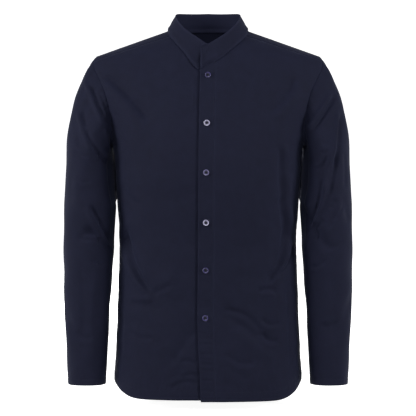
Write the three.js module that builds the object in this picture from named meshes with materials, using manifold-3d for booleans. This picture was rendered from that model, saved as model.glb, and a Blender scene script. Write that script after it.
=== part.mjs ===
// Long-sleeved shirt with a mandarin collar, filled out as if worn and open at the neck, hem and sleeve ends.
// Millimetres. X runs across the shirt towards its left side as worn, Y from front to back, Z up. The origin is
// at the middle of the neck, level with the two points where the shoulder line meets the collar.
import * as THREE from "three";
import { mergeVertices } from "three/addons/utils/BufferGeometryUtils.js";
import Module from "manifold-3d";

// Cloth
const WALL = 1.4;
const COLLAR_WALL = 2.0;
const SEAM_GAP = 0.3;
const LAP_GAP = 0.6;
const COLLAR_GAP = 0.4;

// Shoulders and neck
const NECK_HALF = 81;
const TIP = { x: 223.9, z: -51 };
const SHOULDER_SLOPE = -TIP.z / (TIP.x - NECK_HALF);
const NAPE_RISE = 5;
const YOKE_FRONT = { neckX: 75, tipZ: -62 };
const YOKE_BACK_Z = -88;

// Front opening
const PLACKET_LEFT_OF_CENTRE = 14.6;
const PLACKET_RIGHT_OF_CENTRE = 15.4;
const UNDERLAP = 15;
const UNDERLAP_RELEASE = { from: 34, to: 70 };
const COLLAR_RELEASE = { from: 27, to: 62 };

// Lengths
const ARMPIT_Z = -228;
const CHEST_Z = -177;
const SIDE_HEM_Z = -693;
const FRONT_HEM = { drop: 32, from: 0.6, power: 3.5 };
const BACK_HEM = { drop: 49, from: 0.45, power: 3 };
const OVERLAP_DROP = 3;
const HEM_FADE = 130;
const SLEEVE_END_Z = -701;
const SLEEVE_FREE_Z = -265;

// Half the body's width, seen from the front. Above the shoulder tip it follows the shoulder line.
const BODY_WIDTH = [
  { z: -51, half: 223.9 },
  { z: -62, half: 239 },
  { z: -77, half: 245 },
  { z: -91, half: 245 },
  { z: -109, half: 241.5 },
  { z: -131, half: 234 },
  { z: -150, half: 225 },
  { z: -177, half: 211.5 },
  { z: -200, half: 201.5 },
  { z: -216, half: 195.3 },
  { z: -228, half: 191 },
  { z: -249, half: 187 },
  { z: -297, half: 183.2 },
  { z: -349, half: 180.5 },
  { z: -415, half: 176.4 },
  { z: -465, half: 177.4 },
  { z: -521, half: 179.6 },
  { z: -577, half: 181 },
  { z: -633, half: 183.4 },
  { z: -687, half: 186.5 },
  { z: -760, half: 187 },
];

// Depth of the body in front of and behind its middle, and how square its section is (2 is an ellipse).
const BODY_DEPTH = [
  { z: 12, front: 12, back: 60, square: 2 },
  { z: 0, front: 20, back: 66, square: 2 },
  { z: -6, front: 30, back: 70, square: 2 },
  { z: -13, front: 39, back: 74, square: 2 },
  { z: -19, front: 46, back: 77.5, square: 2 },
  { z: -33, front: 57, back: 84, square: 2 },
  { z: -49, front: 65, back: 90, square: 2 },
  { z: -64, front: 72, back: 94.5, square: 2 },
  { z: -83, front: 80, back: 99, square: 2 },
  { z: -100, front: 87.5, back: 102.5, square: 2 },
  { z: -131, front: 99.5, back: 107.5, square: 2.1 },
  { z: -177, front: 112, back: 111.5, square: 2.2 },
  { z: -228, front: 119.5, back: 111.5, square: 2.35 },
  { z: -285, front: 121.5, back: 107.5, square: 2.4 },
  { z: -350, front: 117, back: 100, square: 2.4 },
  { z: -430, front: 110, back: 94, square: 2.35 },
  { z: -500, front: 108.5, back: 96.5, square: 2.35 },
  { z: -560, front: 109.5, back: 102, square: 2.35 },
  { z: -640, front: 112, back: 110, square: 2.4 },
  { z: -760, front: 115, back: 117, square: 2.4 },
];

// How far from the middle the armhole seam lies, at the front and at the back.
const ARMHOLE = [
  { z: -51, front: 223.9, back: 223.9 },
  { z: -62, front: 226.5, back: 227 },
  { z: -77, front: 225, back: 227 },
  { z: -91, front: 218.5, back: 223 },
  { z: -109, front: 209.5, back: 217 },
  { z: -131, front: 200.5, back: 209.5 },
  { z: -150, front: 195.5, back: 204 },
  { z: -177, front: 190.5, back: 197 },
  { z: -200, front: 188, back: 191.5 },
  { z: -216, front: 188, back: 189 },
  { z: -228, front: 191, back: 191 },
];

// The neckline's height at the front, by the distance from the middle towards the armhole: the left front and
// its placket lie over the right front and are drawn up a little higher.
const NECKLINE = [
  { x: -17, over: -80.5, under: -63.3 },
  { x: 0, over: -72.5, under: -72.5 },
  { x: 10, over: -67.5, under: -77.6 },
  { x: 17, over: -63.3, under: -80.5 },
  { x: 22, over: -60.2, under: -78.4 },
  { x: 28, over: -56, under: -73 },
  { x: 35, over: -50, under: -64 },
  { x: 45, over: -41, under: -49 },
  { x: 58, over: -29, under: -33.5 },
  { x: 70, over: -17.5, under: -19 },
  { x: 75, over: -12, under: -13 },
  { x: 79, over: -6, under: -6 },
  { x: 81, over: 0, under: 0 },
];

// The front edge wanders a little off the middle on its way down.
const CENTRE_LINE = [
  { z: -83, shift: 0 },
  { z: -190, shift: -1.8 },
  { z: -285, shift: -3 },
  { z: -382, shift: -3.5 },
  { z: -474, shift: -4.3 },
  { z: -566, shift: -5 },
  { z: -620, shift: -3.5 },
  { z: -670, shift: -0.8 },
  { z: -760, shift: 2.4 },
];

// The collar's top edge, by the angle round the neck from the middle of the front.
const COLLAR_TOP = { half: 64, front: 71, back: 57 };
const COLLAR_TOP_Z = [
  { turn: 0, z: -33 },
  { turn: 14.5, z: -22.4 },
  { turn: 27.7, z: -13 },
  { turn: 39, z: -4.5 },
  { turn: 57, z: 10.1 },
  { turn: 75, z: 24 },
  { turn: 90, z: 33 },
  { turn: 120, z: 38.5 },
  { turn: 180, z: 42 },
];
const COLLAR_CORNER = 15;

// The sleeve below the armpit: its middle, half its size across and from front to back, and how far the back of
// its inner side leans in behind the body.
const SLEEVE = [
  { z: -265, x: 236.5, y: -10, across: 46.5, deep: 66, lean: 23 },
  { z: -300, x: 235.6, y: -14, across: 48.2, deep: 64, lean: 23 },
  { z: -330, x: 234.4, y: -16, across: 50.4, deep: 62.5, lean: 19 },
  { z: -349, x: 233.5, y: -17, across: 51.7, deep: 61.5, lean: 10 },
  { z: -367, x: 234.4, y: -17, across: 51.3, deep: 60, lean: 3 },
  { z: -415, x: 236.6, y: -17, across: 50.5, deep: 57, lean: 0 },
  { z: -465, x: 238, y: -18, across: 49.1, deep: 54, lean: 0 },
  { z: -521, x: 239.2, y: -20, across: 46.8, deep: 50.5, lean: 0 },
  { z: -577, x: 239.7, y: -23, across: 43.7, deep: 47, lean: 0 },
  { z: -633, x: 239.9, y: -26, across: 40.8, deep: 43.5, lean: 0 },
  { z: -701, x: 239.5, y: -30, across: 37.5, deep: 40, lean: 0 },
];
const SLEEVE_SQUARE = 2.15;
const SLEEVE_LEAN = { turn: 235, spread: 20 };

// Buttons: their heights, and the form of one.
const BUTTON_Z = [-94, -189, -285, -382, -474, -566];
const BUTTON = {
  radius: 5.8,
  edge: 0.8,
  rim: 2.5,
  dish: 1.5,
  dishRadius: 4.2,
  holeRadius: 0.85,
  holeOffset: 1.45,
};
const BUTTON_STANDOFF = 0.35;

// The largest folds of each panel. A fold runs from its first place to its second, is a trough where depth is
// negative, and dies away over width at its sides and towards its ends.
const FRONT_FOLDS = [
  { x1: -182, z1: -92, x2: -112, z2: -176, width: 15, depth: -4.0 },
  { x1: -196, z1: -120, x2: -128, z2: -215, width: 17, depth: 3.0 },
  { x1: 158, z1: -104, x2: 112, z2: -166, width: 15, depth: -3.2 },
  { x1: 172, z1: -135, x2: 128, z2: -205, width: 16, depth: 2.4 },
  { x1: -166, z1: -408, x2: -138, z2: -486, width: 13, depth: -4.5 },
  { x1: -138, z1: -486, x2: -98, z2: -530, width: 12, depth: -4.0 },
  { x1: -150, z1: -540, x2: -92, z2: -548, width: 11, depth: -2.6 },
  { x1: -100, z1: -505, x2: -62, z2: -480, width: 13, depth: 2.4 },
  { x1: 146, z1: -255, x2: 148, z2: -352, width: 12, depth: -3.6 },
  { x1: 160, z1: -290, x2: 156, z2: -380, width: 10, depth: 2.6 },
  { x1: 160, z1: -395, x2: 116, z2: -495, width: 15, depth: -4.4 },
  { x1: 34, z1: -556, x2: 112, z2: -616, width: 14, depth: -4.2 },
  { x1: 60, z1: -590, x2: 128, z2: -648, width: 15, depth: 2.6 },
  { x1: -26, z1: -590, x2: -74, z2: -660, width: 15, depth: -3.4 },
];
const BACK_FOLDS = [
  { x1: -160, z1: -172, x2: -96, z2: -262, width: 19, depth: -3.6 },
  { x1: 156, z1: -178, x2: 104, z2: -256, width: 19, depth: -3.8 },
  { x1: -60, z1: -330, x2: -78, z2: -470, width: 20, depth: 4.6 },
  { x1: 66, z1: -350, x2: 60, z2: -500, width: 20, depth: 4.2 },
  { x1: -118, z1: -400, x2: -60, z2: -452, width: 14, depth: -3.6 },
  { x1: 132, z1: -420, x2: 70, z2: -470, width: 14, depth: -4.2 },
  { x1: -10, z1: -430, x2: 14, z2: -640, width: 20, depth: -4.0 },
  { x1: -110, z1: -540, x2: -90, z2: -690, width: 18, depth: 3.4 },
  { x1: 104, z1: -560, x2: 118, z2: -700, width: 18, depth: 3.2 },
];
// On a sleeve a fold's place across is its turn from the outer side, in degrees, 90 at the front.
const SLEEVE_FOLDS = {
  left: [
    { turn1: 150, z1: -185, turn2: 156, z2: -330, width: 15, depth: -7.5 },
    { turn1: 156, z1: -330, turn2: 164, z2: -420, width: 13, depth: -5.5 },
    { turn1: 120, z1: -190, turn2: 62, z2: -330, width: 11, depth: 3.0 },
    { turn1: 96, z1: -250, turn2: 40, z2: -380, width: 11, depth: -3.0 },
    { turn1: 150, z1: -350, turn2: 92, z2: -432, width: 10, depth: -4.2 },
    { turn1: 60, z1: -340, turn2: 130, z2: -470, width: 13, depth: 2.8 },
    { turn1: 236, z1: -330, turn2: 290, z2: -420, width: 13, depth: -3.6 },
    { turn1: 220, z1: -440, turn2: 300, z2: -470, width: 13, depth: 3.0 },
    { turn1: 20, z1: -520, turn2: 80, z2: -600, width: 13, depth: -2.2 },
  ],
  right: [
    { turn1: 150, z1: -195, turn2: 156, z2: -340, width: 15, depth: -7.5 },
    { turn1: 156, z1: -340, turn2: 164, z2: -425, width: 13, depth: -5.5 },
    { turn1: 110, z1: -180, turn2: 70, z2: -320, width: 11, depth: 3.0 },
    { turn1: 66, z1: -330, turn2: 128, z2: -404, width: 12, depth: 3.2 },
    { turn1: 90, z1: -392, turn2: 156, z2: -440, width: 10, depth: -4.6 },
    { turn1: 74, z1: -412, turn2: 108, z2: -406, width: 9, depth: -3.2 },
    { turn1: 230, z1: -340, turn2: 296, z2: -400, width: 13, depth: -3.8 },
    { turn1: 212, z1: -430, turn2: 290, z2: -478, width: 13, depth: 3.2 },
    { turn1: 30, z1: -560, turn2: 96, z2: -630, width: 13, depth: -2.2 },
  ],
};
const FOLD_SEAM_FADE = 34;

// How finely the panels are divided.
const NECK_COLUMNS = 4;
const UNDERLAP_COLUMNS = 2;
const BACK_NECK_COLUMNS = 4;
const SHOULDER_COLUMNS = 5;
const BODY_ROW = 27.6;
const UNDERARM_ROWS = [-228, -223, -214, -197, -177];
const UPPER_FRONT_ROWS = 5;
const UPPER_BACK_ROWS = 4;
const YOKE_FRONT_ROWS = 2;
const YOKE_BACK_ROWS = 4;
const SLEEVE_HEAD_ROWS = 7;
const SLEEVE_ROW = 27.5;
const COLLAR_ROWS = 2;

const point = (x, y, z) => new THREE.Vector3(x, y, z);
const mix = THREE.MathUtils.lerp;
const clamp = THREE.MathUtils.clamp;
const radians = THREE.MathUtils.degToRad;
const steps = (count) => Array.from({ length: count + 1 }, (_, i) => i / count);

function smooth(value, from, to) {
  const t = clamp((value - from) / (to - from), 0, 1);
  return t * t * (3 - 2 * t);
}

// A curve through a table's rows that never overshoots them (a monotone cubic).
function through(rows, across, up) {
  const sorted = [...rows].sort((a, b) => a[across] - b[across]);
  const xs = sorted.map((row) => row[across]);
  const ys = sorted.map((row) => row[up]);
  const slopes = xs.slice(1).map((x, i) => (ys[i + 1] - ys[i]) / (x - xs[i]));
  const tangent = xs.map((_, i) => {
    const before = slopes[Math.max(i - 1, 0)];
    const after = slopes[Math.min(i, slopes.length - 1)];
    return before * after > 0 ? (2 * before * after) / (before + after) : 0;
  });
  tangent[0] = slopes[0];
  tangent[xs.length - 1] = slopes[slopes.length - 1];
  return (value) => {
    const x = clamp(value, xs[0], xs[xs.length - 1]);
    const i = Math.max(0, xs.findIndex((knot) => knot >= x) - 1);
    const span = xs[i + 1] - xs[i];
    const t = (x - xs[i]) / span;
    const rise = ys[i + 1] - ys[i];
    const startBend = tangent[i] * span - rise;
    const endBend = rise - tangent[i + 1] * span;
    return ys[i] + t * rise + t * (1 - t) * ((1 - t) * startBend + t * endBend);
  };
}

const tableHalf = through(BODY_WIDTH, "z", "half");
const frontDepth = through(BODY_DEPTH, "z", "front");
const backDepth = through(BODY_DEPTH, "z", "back");
const squareness = through(BODY_DEPTH, "z", "square");
const armholeX = { front: through(ARMHOLE, "z", "front"), back: through(ARMHOLE, "z", "back") };
const necklineZ = { over: through(NECKLINE, "x", "over"), under: through(NECKLINE, "x", "under") };
const centreShift = through(CENTRE_LINE, "z", "shift");
const collarTopZ = through(COLLAR_TOP_Z, "turn", "z");
const sleeveAt = Object.fromEntries(
  ["x", "y", "across", "deep", "lean"].map((column) => [column, through(SLEEVE, "z", column)]),
);

const bodyHalf = (z) => (z > TIP.z ? NECK_HALF - z / SHOULDER_SLOPE : tableHalf(z));
const shoulderZ = (x) => -(x - NECK_HALF) * SHOULDER_SLOPE;
const backNeckZ = (x) => NAPE_RISE * (1 - (x / NECK_HALF) ** 2);

// The body form: the depth at a place seen from the front.
function bodyY(x, z, face) {
  const n = squareness(z);
  const share = clamp(Math.abs(x) / bodyHalf(z), 0, 1);
  const depth = (1 - share ** n) ** (1 / n);
  return face === "front" ? -frontDepth(z) * depth : backDepth(z) * depth;
}
const onBody = (x, z, face) => point(x, bodyY(x, z, face), z);

// Places across one level of the body, evenly spaced along the cloth, as x values.
function acrossLevel(z, start, end, shares, face) {
  const n = squareness(z);
  const half = bodyHalf(z);
  const depth = face === "front" ? frontDepth(z) : backDepth(z);
  const turnOf = (x) => Math.sign(x) * Math.asin(clamp(Math.abs(x) / half, 0, 1) ** (n / 2));
  const first = turnOf(start);
  const last = turnOf(end);
  const fine = steps(160).map((t) => {
    const turn = mix(first, last, t);
    const x = Math.sign(turn) * half * Math.abs(Math.sin(turn)) ** (2 / n);
    return { x, y: depth * Math.cos(turn) ** (2 / n) };
  });
  const lengths = [0];
  for (let i = 1; i < fine.length; i++)
    lengths.push(lengths[i - 1] + Math.hypot(fine[i].x - fine[i - 1].x, fine[i].y - fine[i - 1].y));
  return shares.map((share) => {
    const wanted = share * lengths[lengths.length - 1];
    const i = clamp(lengths.findIndex((length) => length >= wanted), 1, fine.length - 1);
    const t = (wanted - lengths[i - 1]) / (lengths[i] - lengths[i - 1]);
    return mix(fine[i - 1].x, fine[i].x, t);
  });
}

// The rows of a panel up to the chest: the level of each in the middle, and how far it rises to the side seam.
const ARMPIT_ROW = Math.round((ARMPIT_Z - SIDE_HEM_Z) / BODY_ROW);
function lowerRows(hem) {
  const sides = steps(ARMPIT_ROW).map((t) => mix(SIDE_HEM_Z, ARMPIT_Z, t));
  return [...sides.slice(0, -1), ...UNDERARM_ROWS].map((side) => {
    const lift = hem.drop * clamp(1 - (side - SIDE_HEM_Z) / HEM_FADE, 0, 1);
    return { z: side - lift, lift };
  });
}

function hemLift(hem, share) {
  return Math.max(0, (share - hem.from) / (1 - hem.from)) ** hem.power;
}

// One level of a panel, from its edge near the middle to its side seam or armhole.
function levelRow(row, startAt, shares, face, hem) {
  const end = row.z >= ARMPIT_Z ? armholeX[face](row.z) : bodyHalf(row.z);
  return acrossLevel(row.z, startAt(row.z), end, shares, face).map((x) => {
    const share = Math.abs(x) / bodyHalf(row.z);
    const z = row.z + row.lift * hemLift(hem, share);
    return onBody(x * (bodyHalf(z) / bodyHalf(row.z)), z, face);
  });
}

// A patch between four edges drawn in the front view, each a list of {x, z}.
function patchXZ(bottom, top, left, right) {
  const lastRow = left.length - 1;
  const lastColumn = bottom.length - 1;
  return left.map((_, i) =>
    bottom.map((_, j) => {
      const u = j / lastColumn;
      const v = i / lastRow;
      const blend = (key) =>
        mix(bottom[j][key], top[j][key], v) +
        mix(left[i][key], right[i][key], u) -
        mix(mix(bottom[0][key], bottom[lastColumn][key], u), mix(top[0][key], top[lastColumn][key], u), v);
      return { x: blend("x"), z: blend("z") };
    }),
  );
}

const yokeFrontTip = { x: armholeX.front(YOKE_FRONT.tipZ), z: YOKE_FRONT.tipZ };
const seamOnYokeFront = (t, lap) => ({
  x: mix(YOKE_FRONT.neckX, yokeFrontTip.x, t),
  z: mix(necklineZ[lap](YOKE_FRONT.neckX), yokeFrontTip.z, t),
});

// A front, worked out for the side where x is positive, from its front edge to the side seam and armhole.
function frontGrid(startAt, columnsInNeck, hemDrop, lap) {
  const columns = columnsInNeck + SHOULDER_COLUMNS;
  const shares = steps(columns);
  const hem = { ...FRONT_HEM, drop: FRONT_HEM.drop + hemDrop };
  const lower = lowerRows(hem).map((row) => levelRow(row, startAt, shares, "front", hem));
  const chest = lower[lower.length - 1];
  const neckStart = startAt(CENTRE_LINE[0].z);
  const top = shares.map((_, j) => {
    if (j > columnsInNeck) return seamOnYokeFront((j - columnsInNeck) / SHOULDER_COLUMNS, lap);
    const x = mix(neckStart, YOKE_FRONT.neckX, j / columnsInNeck);
    return { x, z: necklineZ[lap](x) };
  });
  const left = steps(UPPER_FRONT_ROWS).map((t) => {
    const z = mix(CHEST_Z, top[0].z, t);
    return { x: startAt(z), z };
  });
  const right = steps(UPPER_FRONT_ROWS).map((t) => {
    const z = mix(CHEST_Z, yokeFrontTip.z, t);
    return { x: armholeX.front(z), z };
  });
  const upper = patchXZ(chest.map((p) => ({ x: p.x, z: p.z })), top, left, right);
  return [...lower, ...upper.slice(1).map((row) => row.map((p) => onBody(p.x, p.z, "front")))];
}

// The placket follows the rows of the left front's edge.
function placketGrid(front) {
  const across = steps(2);
  return front.map((row) => {
    const seam = row[0];
    const centre = seam.x - PLACKET_LEFT_OF_CENTRE;
    return across.map((t) => {
      const x = mix(centre - PLACKET_RIGHT_OF_CENTRE, seam.x, t);
      const atNeck = row === front[front.length - 1];
      const z = atNeck ? necklineZ.over(x) : seam.z;
      return onBody(x, z, "front");
    });
  });
}

// Half of the back, from its middle to the side seam and armhole, up to the yoke.
function backHalf(columns) {
  const shares = steps(columns);
  const rows = lowerRows(BACK_HEM);
  const above = steps(UPPER_BACK_ROWS).slice(1).map((t) => ({ z: mix(CHEST_Z, YOKE_BACK_Z, t), lift: 0 }));
  return [...rows, ...above].map((row) => levelRow(row, () => 0, shares, "back", BACK_HEM));
}

// Half of the yoke behind the shoulder line. Rows close up towards that line, where the cloth turns over it.
function yokeBackHalf(seam) {
  return steps(YOKE_BACK_ROWS).map((w) =>
    seam.map((low, j) => {
      const overShoulder = (j - BACK_NECK_COLUMNS) / SHOULDER_COLUMNS;
      const x = overShoulder <= 0
        ? NECK_HALF * Math.sin((Math.PI / 2) * (j / BACK_NECK_COLUMNS))
        : mix(NECK_HALF, TIP.x, overShoulder);
      const z = overShoulder <= 0 ? backNeckZ(x) : shoulderZ(x);
      return yokePlace({ x, z }, low, w, overShoulder, "back", "over");
    }),
  );
}

function yokePlace(ridge, low, w, overShoulder, face, lap) {
  if (w === 0 && overShoulder >= 0) return point(ridge.x, 0, ridge.z);
  const share = mix(w, w * w, clamp(overShoulder * 2 + 1, 0, 1));
  const straight = { x: mix(ridge.x, low.x, share), z: mix(ridge.z, low.z, share) };
  if (overShoulder >= 1) return onBody(armholeX[face](straight.z), straight.z, face);
  if (overShoulder === 0 && face === "front") return onBody(straight.x, necklineZ[lap](straight.x), face);
  return onBody(straight.x, straight.z, face);
}

function yokeFrontStrip(lap) {
  return steps(YOKE_FRONT_ROWS).map((w) =>
    steps(SHOULDER_COLUMNS).map((t) => {
      const x = mix(NECK_HALF, TIP.x, t);
      return yokePlace({ x, z: shoulderZ(x) }, seamOnYokeFront(t, lap), w, t, "front", lap);
    }),
  );
}

const mirrored = (grid) => grid.map((row) => row.map((p) => point(-p.x, p.y, p.z)));
const bothHalves = (half) =>
  half.map((row) => [...row.slice(1).reverse().map((p) => point(-p.x, p.y, p.z)), ...row]);

const keyOf = (p) => p.toArray().map((value) => Math.round(value * 100) + 0).join();

function faceNormal([a, b, c, d]) {
  return c.clone().sub(a).cross(d.clone().sub(b));
}

// A sheet is a list of points and of four-sided faces on them, which look away from its middle.
function sheetOf(grids, middleOf, closed = false) {
  const points = [];
  const known = new Map();
  const indexOf = (p) => {
    const key = keyOf(p);
    if (!known.has(key)) known.set(key, points.push(p.clone()) - 1);
    return known.get(key);
  };
  const faces = grids.flatMap((grid) => {
    const own = [];
    for (let i = 0; i + 1 < grid.length; i++) {
      const width = grid[i].length;
      for (let j = 0; j + (closed ? 0 : 1) < width; j++) {
        const k = (j + 1) % width;
        own.push([grid[i][j], grid[i][k], grid[i + 1][k], grid[i + 1][j]].map(indexOf));
      }
    }
    const outward = own.reduce((sum, face) => {
      const corners = face.map((k) => points[k]);
      return sum + faceNormal(corners).dot(corners[0].clone().sub(middleOf(corners[0])));
    }, 0);
    return outward < 0 ? own.map((face) => face.reverse()) : own;
  });
  return { points, faces };
}

// Normals at the points of a group of sheets, shared wherever two of them meet.
function groupNormals(sheets) {
  const shared = new Map();
  for (const { points, faces } of sheets)
    for (const face of faces) {
      const corners = face.map((k) => points[k]);
      const normal = faceNormal(corners);
      for (const corner of corners) {
        const key = keyOf(corner);
        if (!shared.has(key)) shared.set(key, point(0, 0, 0));
        shared.get(key).add(normal);
      }
    }
  shared.forEach((normal) => normal.normalize());
  return shared;
}

function lifted(grid, normals, liftOf) {
  return grid.map((row, i) =>
    row.map((p) => p.clone().addScaledVector(normals.get(keyOf(p)), liftOf(p, i))),
  );
}

// How far the folds of a table lift a place.
function foldsAt(folds, x, z) {
  return folds.reduce((sum, fold) => {
    const along = { x: fold.x2 - fold.x1, z: fold.z2 - fold.z1 };
    const length = Math.hypot(along.x, along.z);
    const ahead = ((x - fold.x1) * along.x + (z - fold.z1) * along.z) / length;
    const aside = ((x - fold.x1) * along.z - (z - fold.z1) * along.x) / length;
    const begun = smooth(ahead, -fold.width, fold.width);
    const left = 1 - smooth(ahead, length - fold.width, length + fold.width);
    return sum + fold.depth * begun * left * Math.exp(-((aside / fold.width) ** 2));
  }, 0);
}

function bodyFold(p) {
  const folds = p.y < 0 ? FRONT_FOLDS : BACK_FOLDS;
  return foldsAt(folds, p.x, p.z) * smooth(Math.abs(p.y), 0, FOLD_SEAM_FADE);
}

// The right front lies inside the placket, and comes out level with it further on.
function underlapSink(p) {
  const past = centreShift(p.z) - p.x;
  return -(WALL + LAP_GAP) * (1 - smooth(past, UNDERLAP_RELEASE.from, UNDERLAP_RELEASE.to));
}

// The armhole, as a ring that starts at the shoulder tip and runs down the front and up the back.
function armholeRing(front, back, yokeFront, yokeBack) {
  return [
    ...yokeFront,
    ...front.slice(ARMPIT_ROW, -1).reverse(),
    ...back.slice(ARMPIT_ROW + 1),
    ...yokeBack.slice(1, -1).reverse(),
  ];
}

function hermite(start, leaving, end, arriving, t) {
  return start.clone().multiplyScalar((1 + 2 * t) * (1 - t) ** 2)
    .addScaledVector(leaving, t * (1 - t) ** 2)
    .addScaledVector(end, t * t * (3 - 2 * t))
    .addScaledVector(arriving, t * t * (t - 1));
}

// A sleeve on the side where x is positive: a head that leaves the armhole and turns down, then level rings.
function sleeveGrid(armhole) {
  const lengths = [0];
  armhole.forEach((p, j) => lengths.push(lengths[j] + p.distanceTo(armhole[(j + 1) % armhole.length])));
  const turns = armhole.map((_, j) => (2 * Math.PI * lengths[j]) / lengths[armhole.length]);
  const squared = (value) => Math.sign(value) * Math.abs(value) ** (2 / SLEEVE_SQUARE);
  const ringPoint = (turn, z) => {
    const fromLean = (THREE.MathUtils.radToDeg(turn) - SLEEVE_LEAN.turn) / SLEEVE_LEAN.spread;
    return point(
      sleeveAt.x(z) + sleeveAt.across(z) * squared(Math.cos(turn)) - sleeveAt.lean(z) * Math.exp(-(fromLean ** 2)),
      sleeveAt.y(z) - sleeveAt.deep(z) * squared(Math.sin(turn)),
      z,
    );
  };
  const head = steps(SLEEVE_HEAD_ROWS).map((t) =>
    armhole.map((start, j) => {
      const c = Math.cos(turns[j]);
      const end = ringPoint(turns[j], SLEEVE_FREE_Z);
      const leaving = point(38 + 58 * c + 24 * c * c, -35 * Math.sin(turns[j]), -100 - 55 * c + 5 * c * c);
      const arriving = point(0, 0, -100 - 90 * c - 30 * c * c);
      return hermite(start, leaving, end, arriving, t);
    }),
  );
  const count = Math.round((SLEEVE_FREE_Z - SLEEVE_END_Z) / SLEEVE_ROW);
  const rings = steps(count).slice(1).map((t) => {
    const z = mix(SLEEVE_FREE_Z, SLEEVE_END_Z, t);
    return turns.map((turn) => ringPoint(turn, z));
  });
  return [...head, ...rings];
}

function sleeveFold(p, i, side) {
  const across = Math.abs(p.x) - sleeveAt.x(p.z);
  const ahead = sleeveAt.y(p.z) - p.y;
  const turn = (THREE.MathUtils.radToDeg(Math.atan2(ahead, across)) + 360) % 360;
  const perDegree = (Math.PI * (sleeveAt.across(p.z) + sleeveAt.deep(p.z))) / 360;
  const folds = SLEEVE_FOLDS[side].map((fold) => ({
    ...fold,
    x1: fold.turn1 * perDegree,
    x2: fold.turn2 * perDegree,
  }));
  return foldsAt(folds, turn * perDegree, p.z) * smooth(i, 0, 3);
}

// The collar stands on the neckline, a list of points from the middle of the front round to it again.
function collarGrid(neckline) {
  const ends = [0.05, 0.2, 0.5];
  const first = ends.map((t) => neckline[0].clone().lerp(neckline[1], t));
  const last = ends.map((t) => neckline.at(-1).clone().lerp(neckline.at(-2), t)).reverse();
  const seam = [neckline[0], ...first, ...neckline.slice(1, -1), ...last, neckline.at(-1)];
  const turns = seam.map((p, j) => {
    const swing = THREE.MathUtils.radToDeg(Math.asin(clamp(p.x / NECK_HALF, -1, 1)));
    if (p.y >= -0.01) return 180 - swing;
    return j < seam.length / 2 ? swing : 360 + swing;
  });
  return steps(COLLAR_ROWS).map((t) => seam.map((p, j) => collarPoint(p, turns[j], t, turns[0], turns.at(-1))));
}

function collarPoint(seam, turn, t, firstTurn, lastTurn) {
  const cosine = Math.cos(radians(turn));
  const depth = cosine > 0 ? COLLAR_TOP.front : COLLAR_TOP.back;
  const fromFront = Math.min(Math.abs(turn), Math.abs(360 - turn));
  const top = point(COLLAR_TOP.half * Math.sin(radians(turn)), -depth * cosine, collarTopZ(fromFront));
  const height = top.distanceTo(seam);
  const fromEnd = radians(Math.min(turn - firstTurn, lastTurn - turn)) * COLLAR_TOP.front;
  const away = Math.max(0, COLLAR_CORNER - fromEnd);
  const cut = COLLAR_CORNER - Math.sqrt(COLLAR_CORNER ** 2 - away ** 2);
  const place = seam.clone().lerp(top, (COLLAR_GAP + t * (height - COLLAR_GAP - cut)) / height);
  const beneath = 1 - smooth(lastTurn - turn, COLLAR_RELEASE.from, COLLAR_RELEASE.to);
  const sink = beneath * mix(COLLAR_WALL - WALL, COLLAR_WALL + LAP_GAP, t);
  return place.addScaledVector(point(place.x, place.y, 0).normalize(), -sink);
}

// Where two walls meet, their thickness runs along the line between them, less so at a sharp fold.
function mitred(own, other) {
  if (!other) return own;
  const along = own.dot(other);
  const middle = own.clone().add(other).divideScalar(1 + Math.max(along, 0));
  return own.clone().lerp(middle, smooth(along, -0.5, 0.2));
}

// Gives a sheet its wall: an inner layer behind it, and a strip that closes its edges.
function solidOf({ points, faces }, normals, wall) {
  const edges = new Map();
  for (const face of faces)
    face.forEach((a, i) => {
      const b = face[(i + 1) % 4];
      if (!edges.delete(`${b},${a}`)) edges.set(`${a},${b}`, [a, b]);
    });
  const pulls = points.map(() => []);
  for (const [a, b] of edges.values()) {
    const along = points[b].clone().sub(points[a]);
    for (const k of [a, b]) pulls[k].push(normals[k].clone().cross(along).normalize());
  }
  const outer = points.map((p, k) => {
    if (pulls[k].length === 0) return p.clone();
    const [one, two] = pulls[k];
    return p.clone().addScaledVector(one.clone().add(two), SEAM_GAP / 2 / (1 + Math.max(0, one.dot(two))));
  });
  const inner = outer.map((p, k) => p.clone().addScaledVector(normals[k], -wall));
  const count = outer.length;
  const triangles = faces.flatMap(([a, b, c, d]) => {
    const shortWay = outer[a].distanceTo(outer[c]) < outer[b].distanceTo(outer[d]);
    const halves = shortWay ? [[a, b, c], [a, c, d]] : [[a, b, d], [b, c, d]];
    return halves.flatMap(([p, q, r]) => [p, q, r, r + count, q + count, p + count]);
  });
  for (const [a, b] of edges.values()) triangles.push(b, a, a + count, b, a + count, b + count);
  const geometry = new THREE.BufferGeometry();
  const places = [...outer, ...inner].flatMap((p) => p.toArray());
  geometry.setAttribute("position", new THREE.Float32BufferAttribute(places, 3));
  geometry.setIndex(triangles);
  geometry.computeVertexNormals();
  return geometry;
}

const wasm = await Module();
wasm.setup();

function asManifold(geometry) {
  const bare = geometry.clone();
  bare.deleteAttribute("normal");
  bare.deleteAttribute("uv");
  const merged = mergeVertices(bare, 1e-4);
  const corners = [];
  for (let k = 0; k < merged.index.count; k += 3) {
    const triangle = [0, 1, 2].map((i) => merged.index.getX(k + i));
    if (new Set(triangle).size === 3) corners.push(...triangle);
  }
  return new wasm.Manifold(
    new wasm.Mesh({
      numProp: 3,
      vertProperties: merged.getAttribute("position").array,
      triVerts: new Uint32Array(corners),
    }),
  );
}

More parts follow.
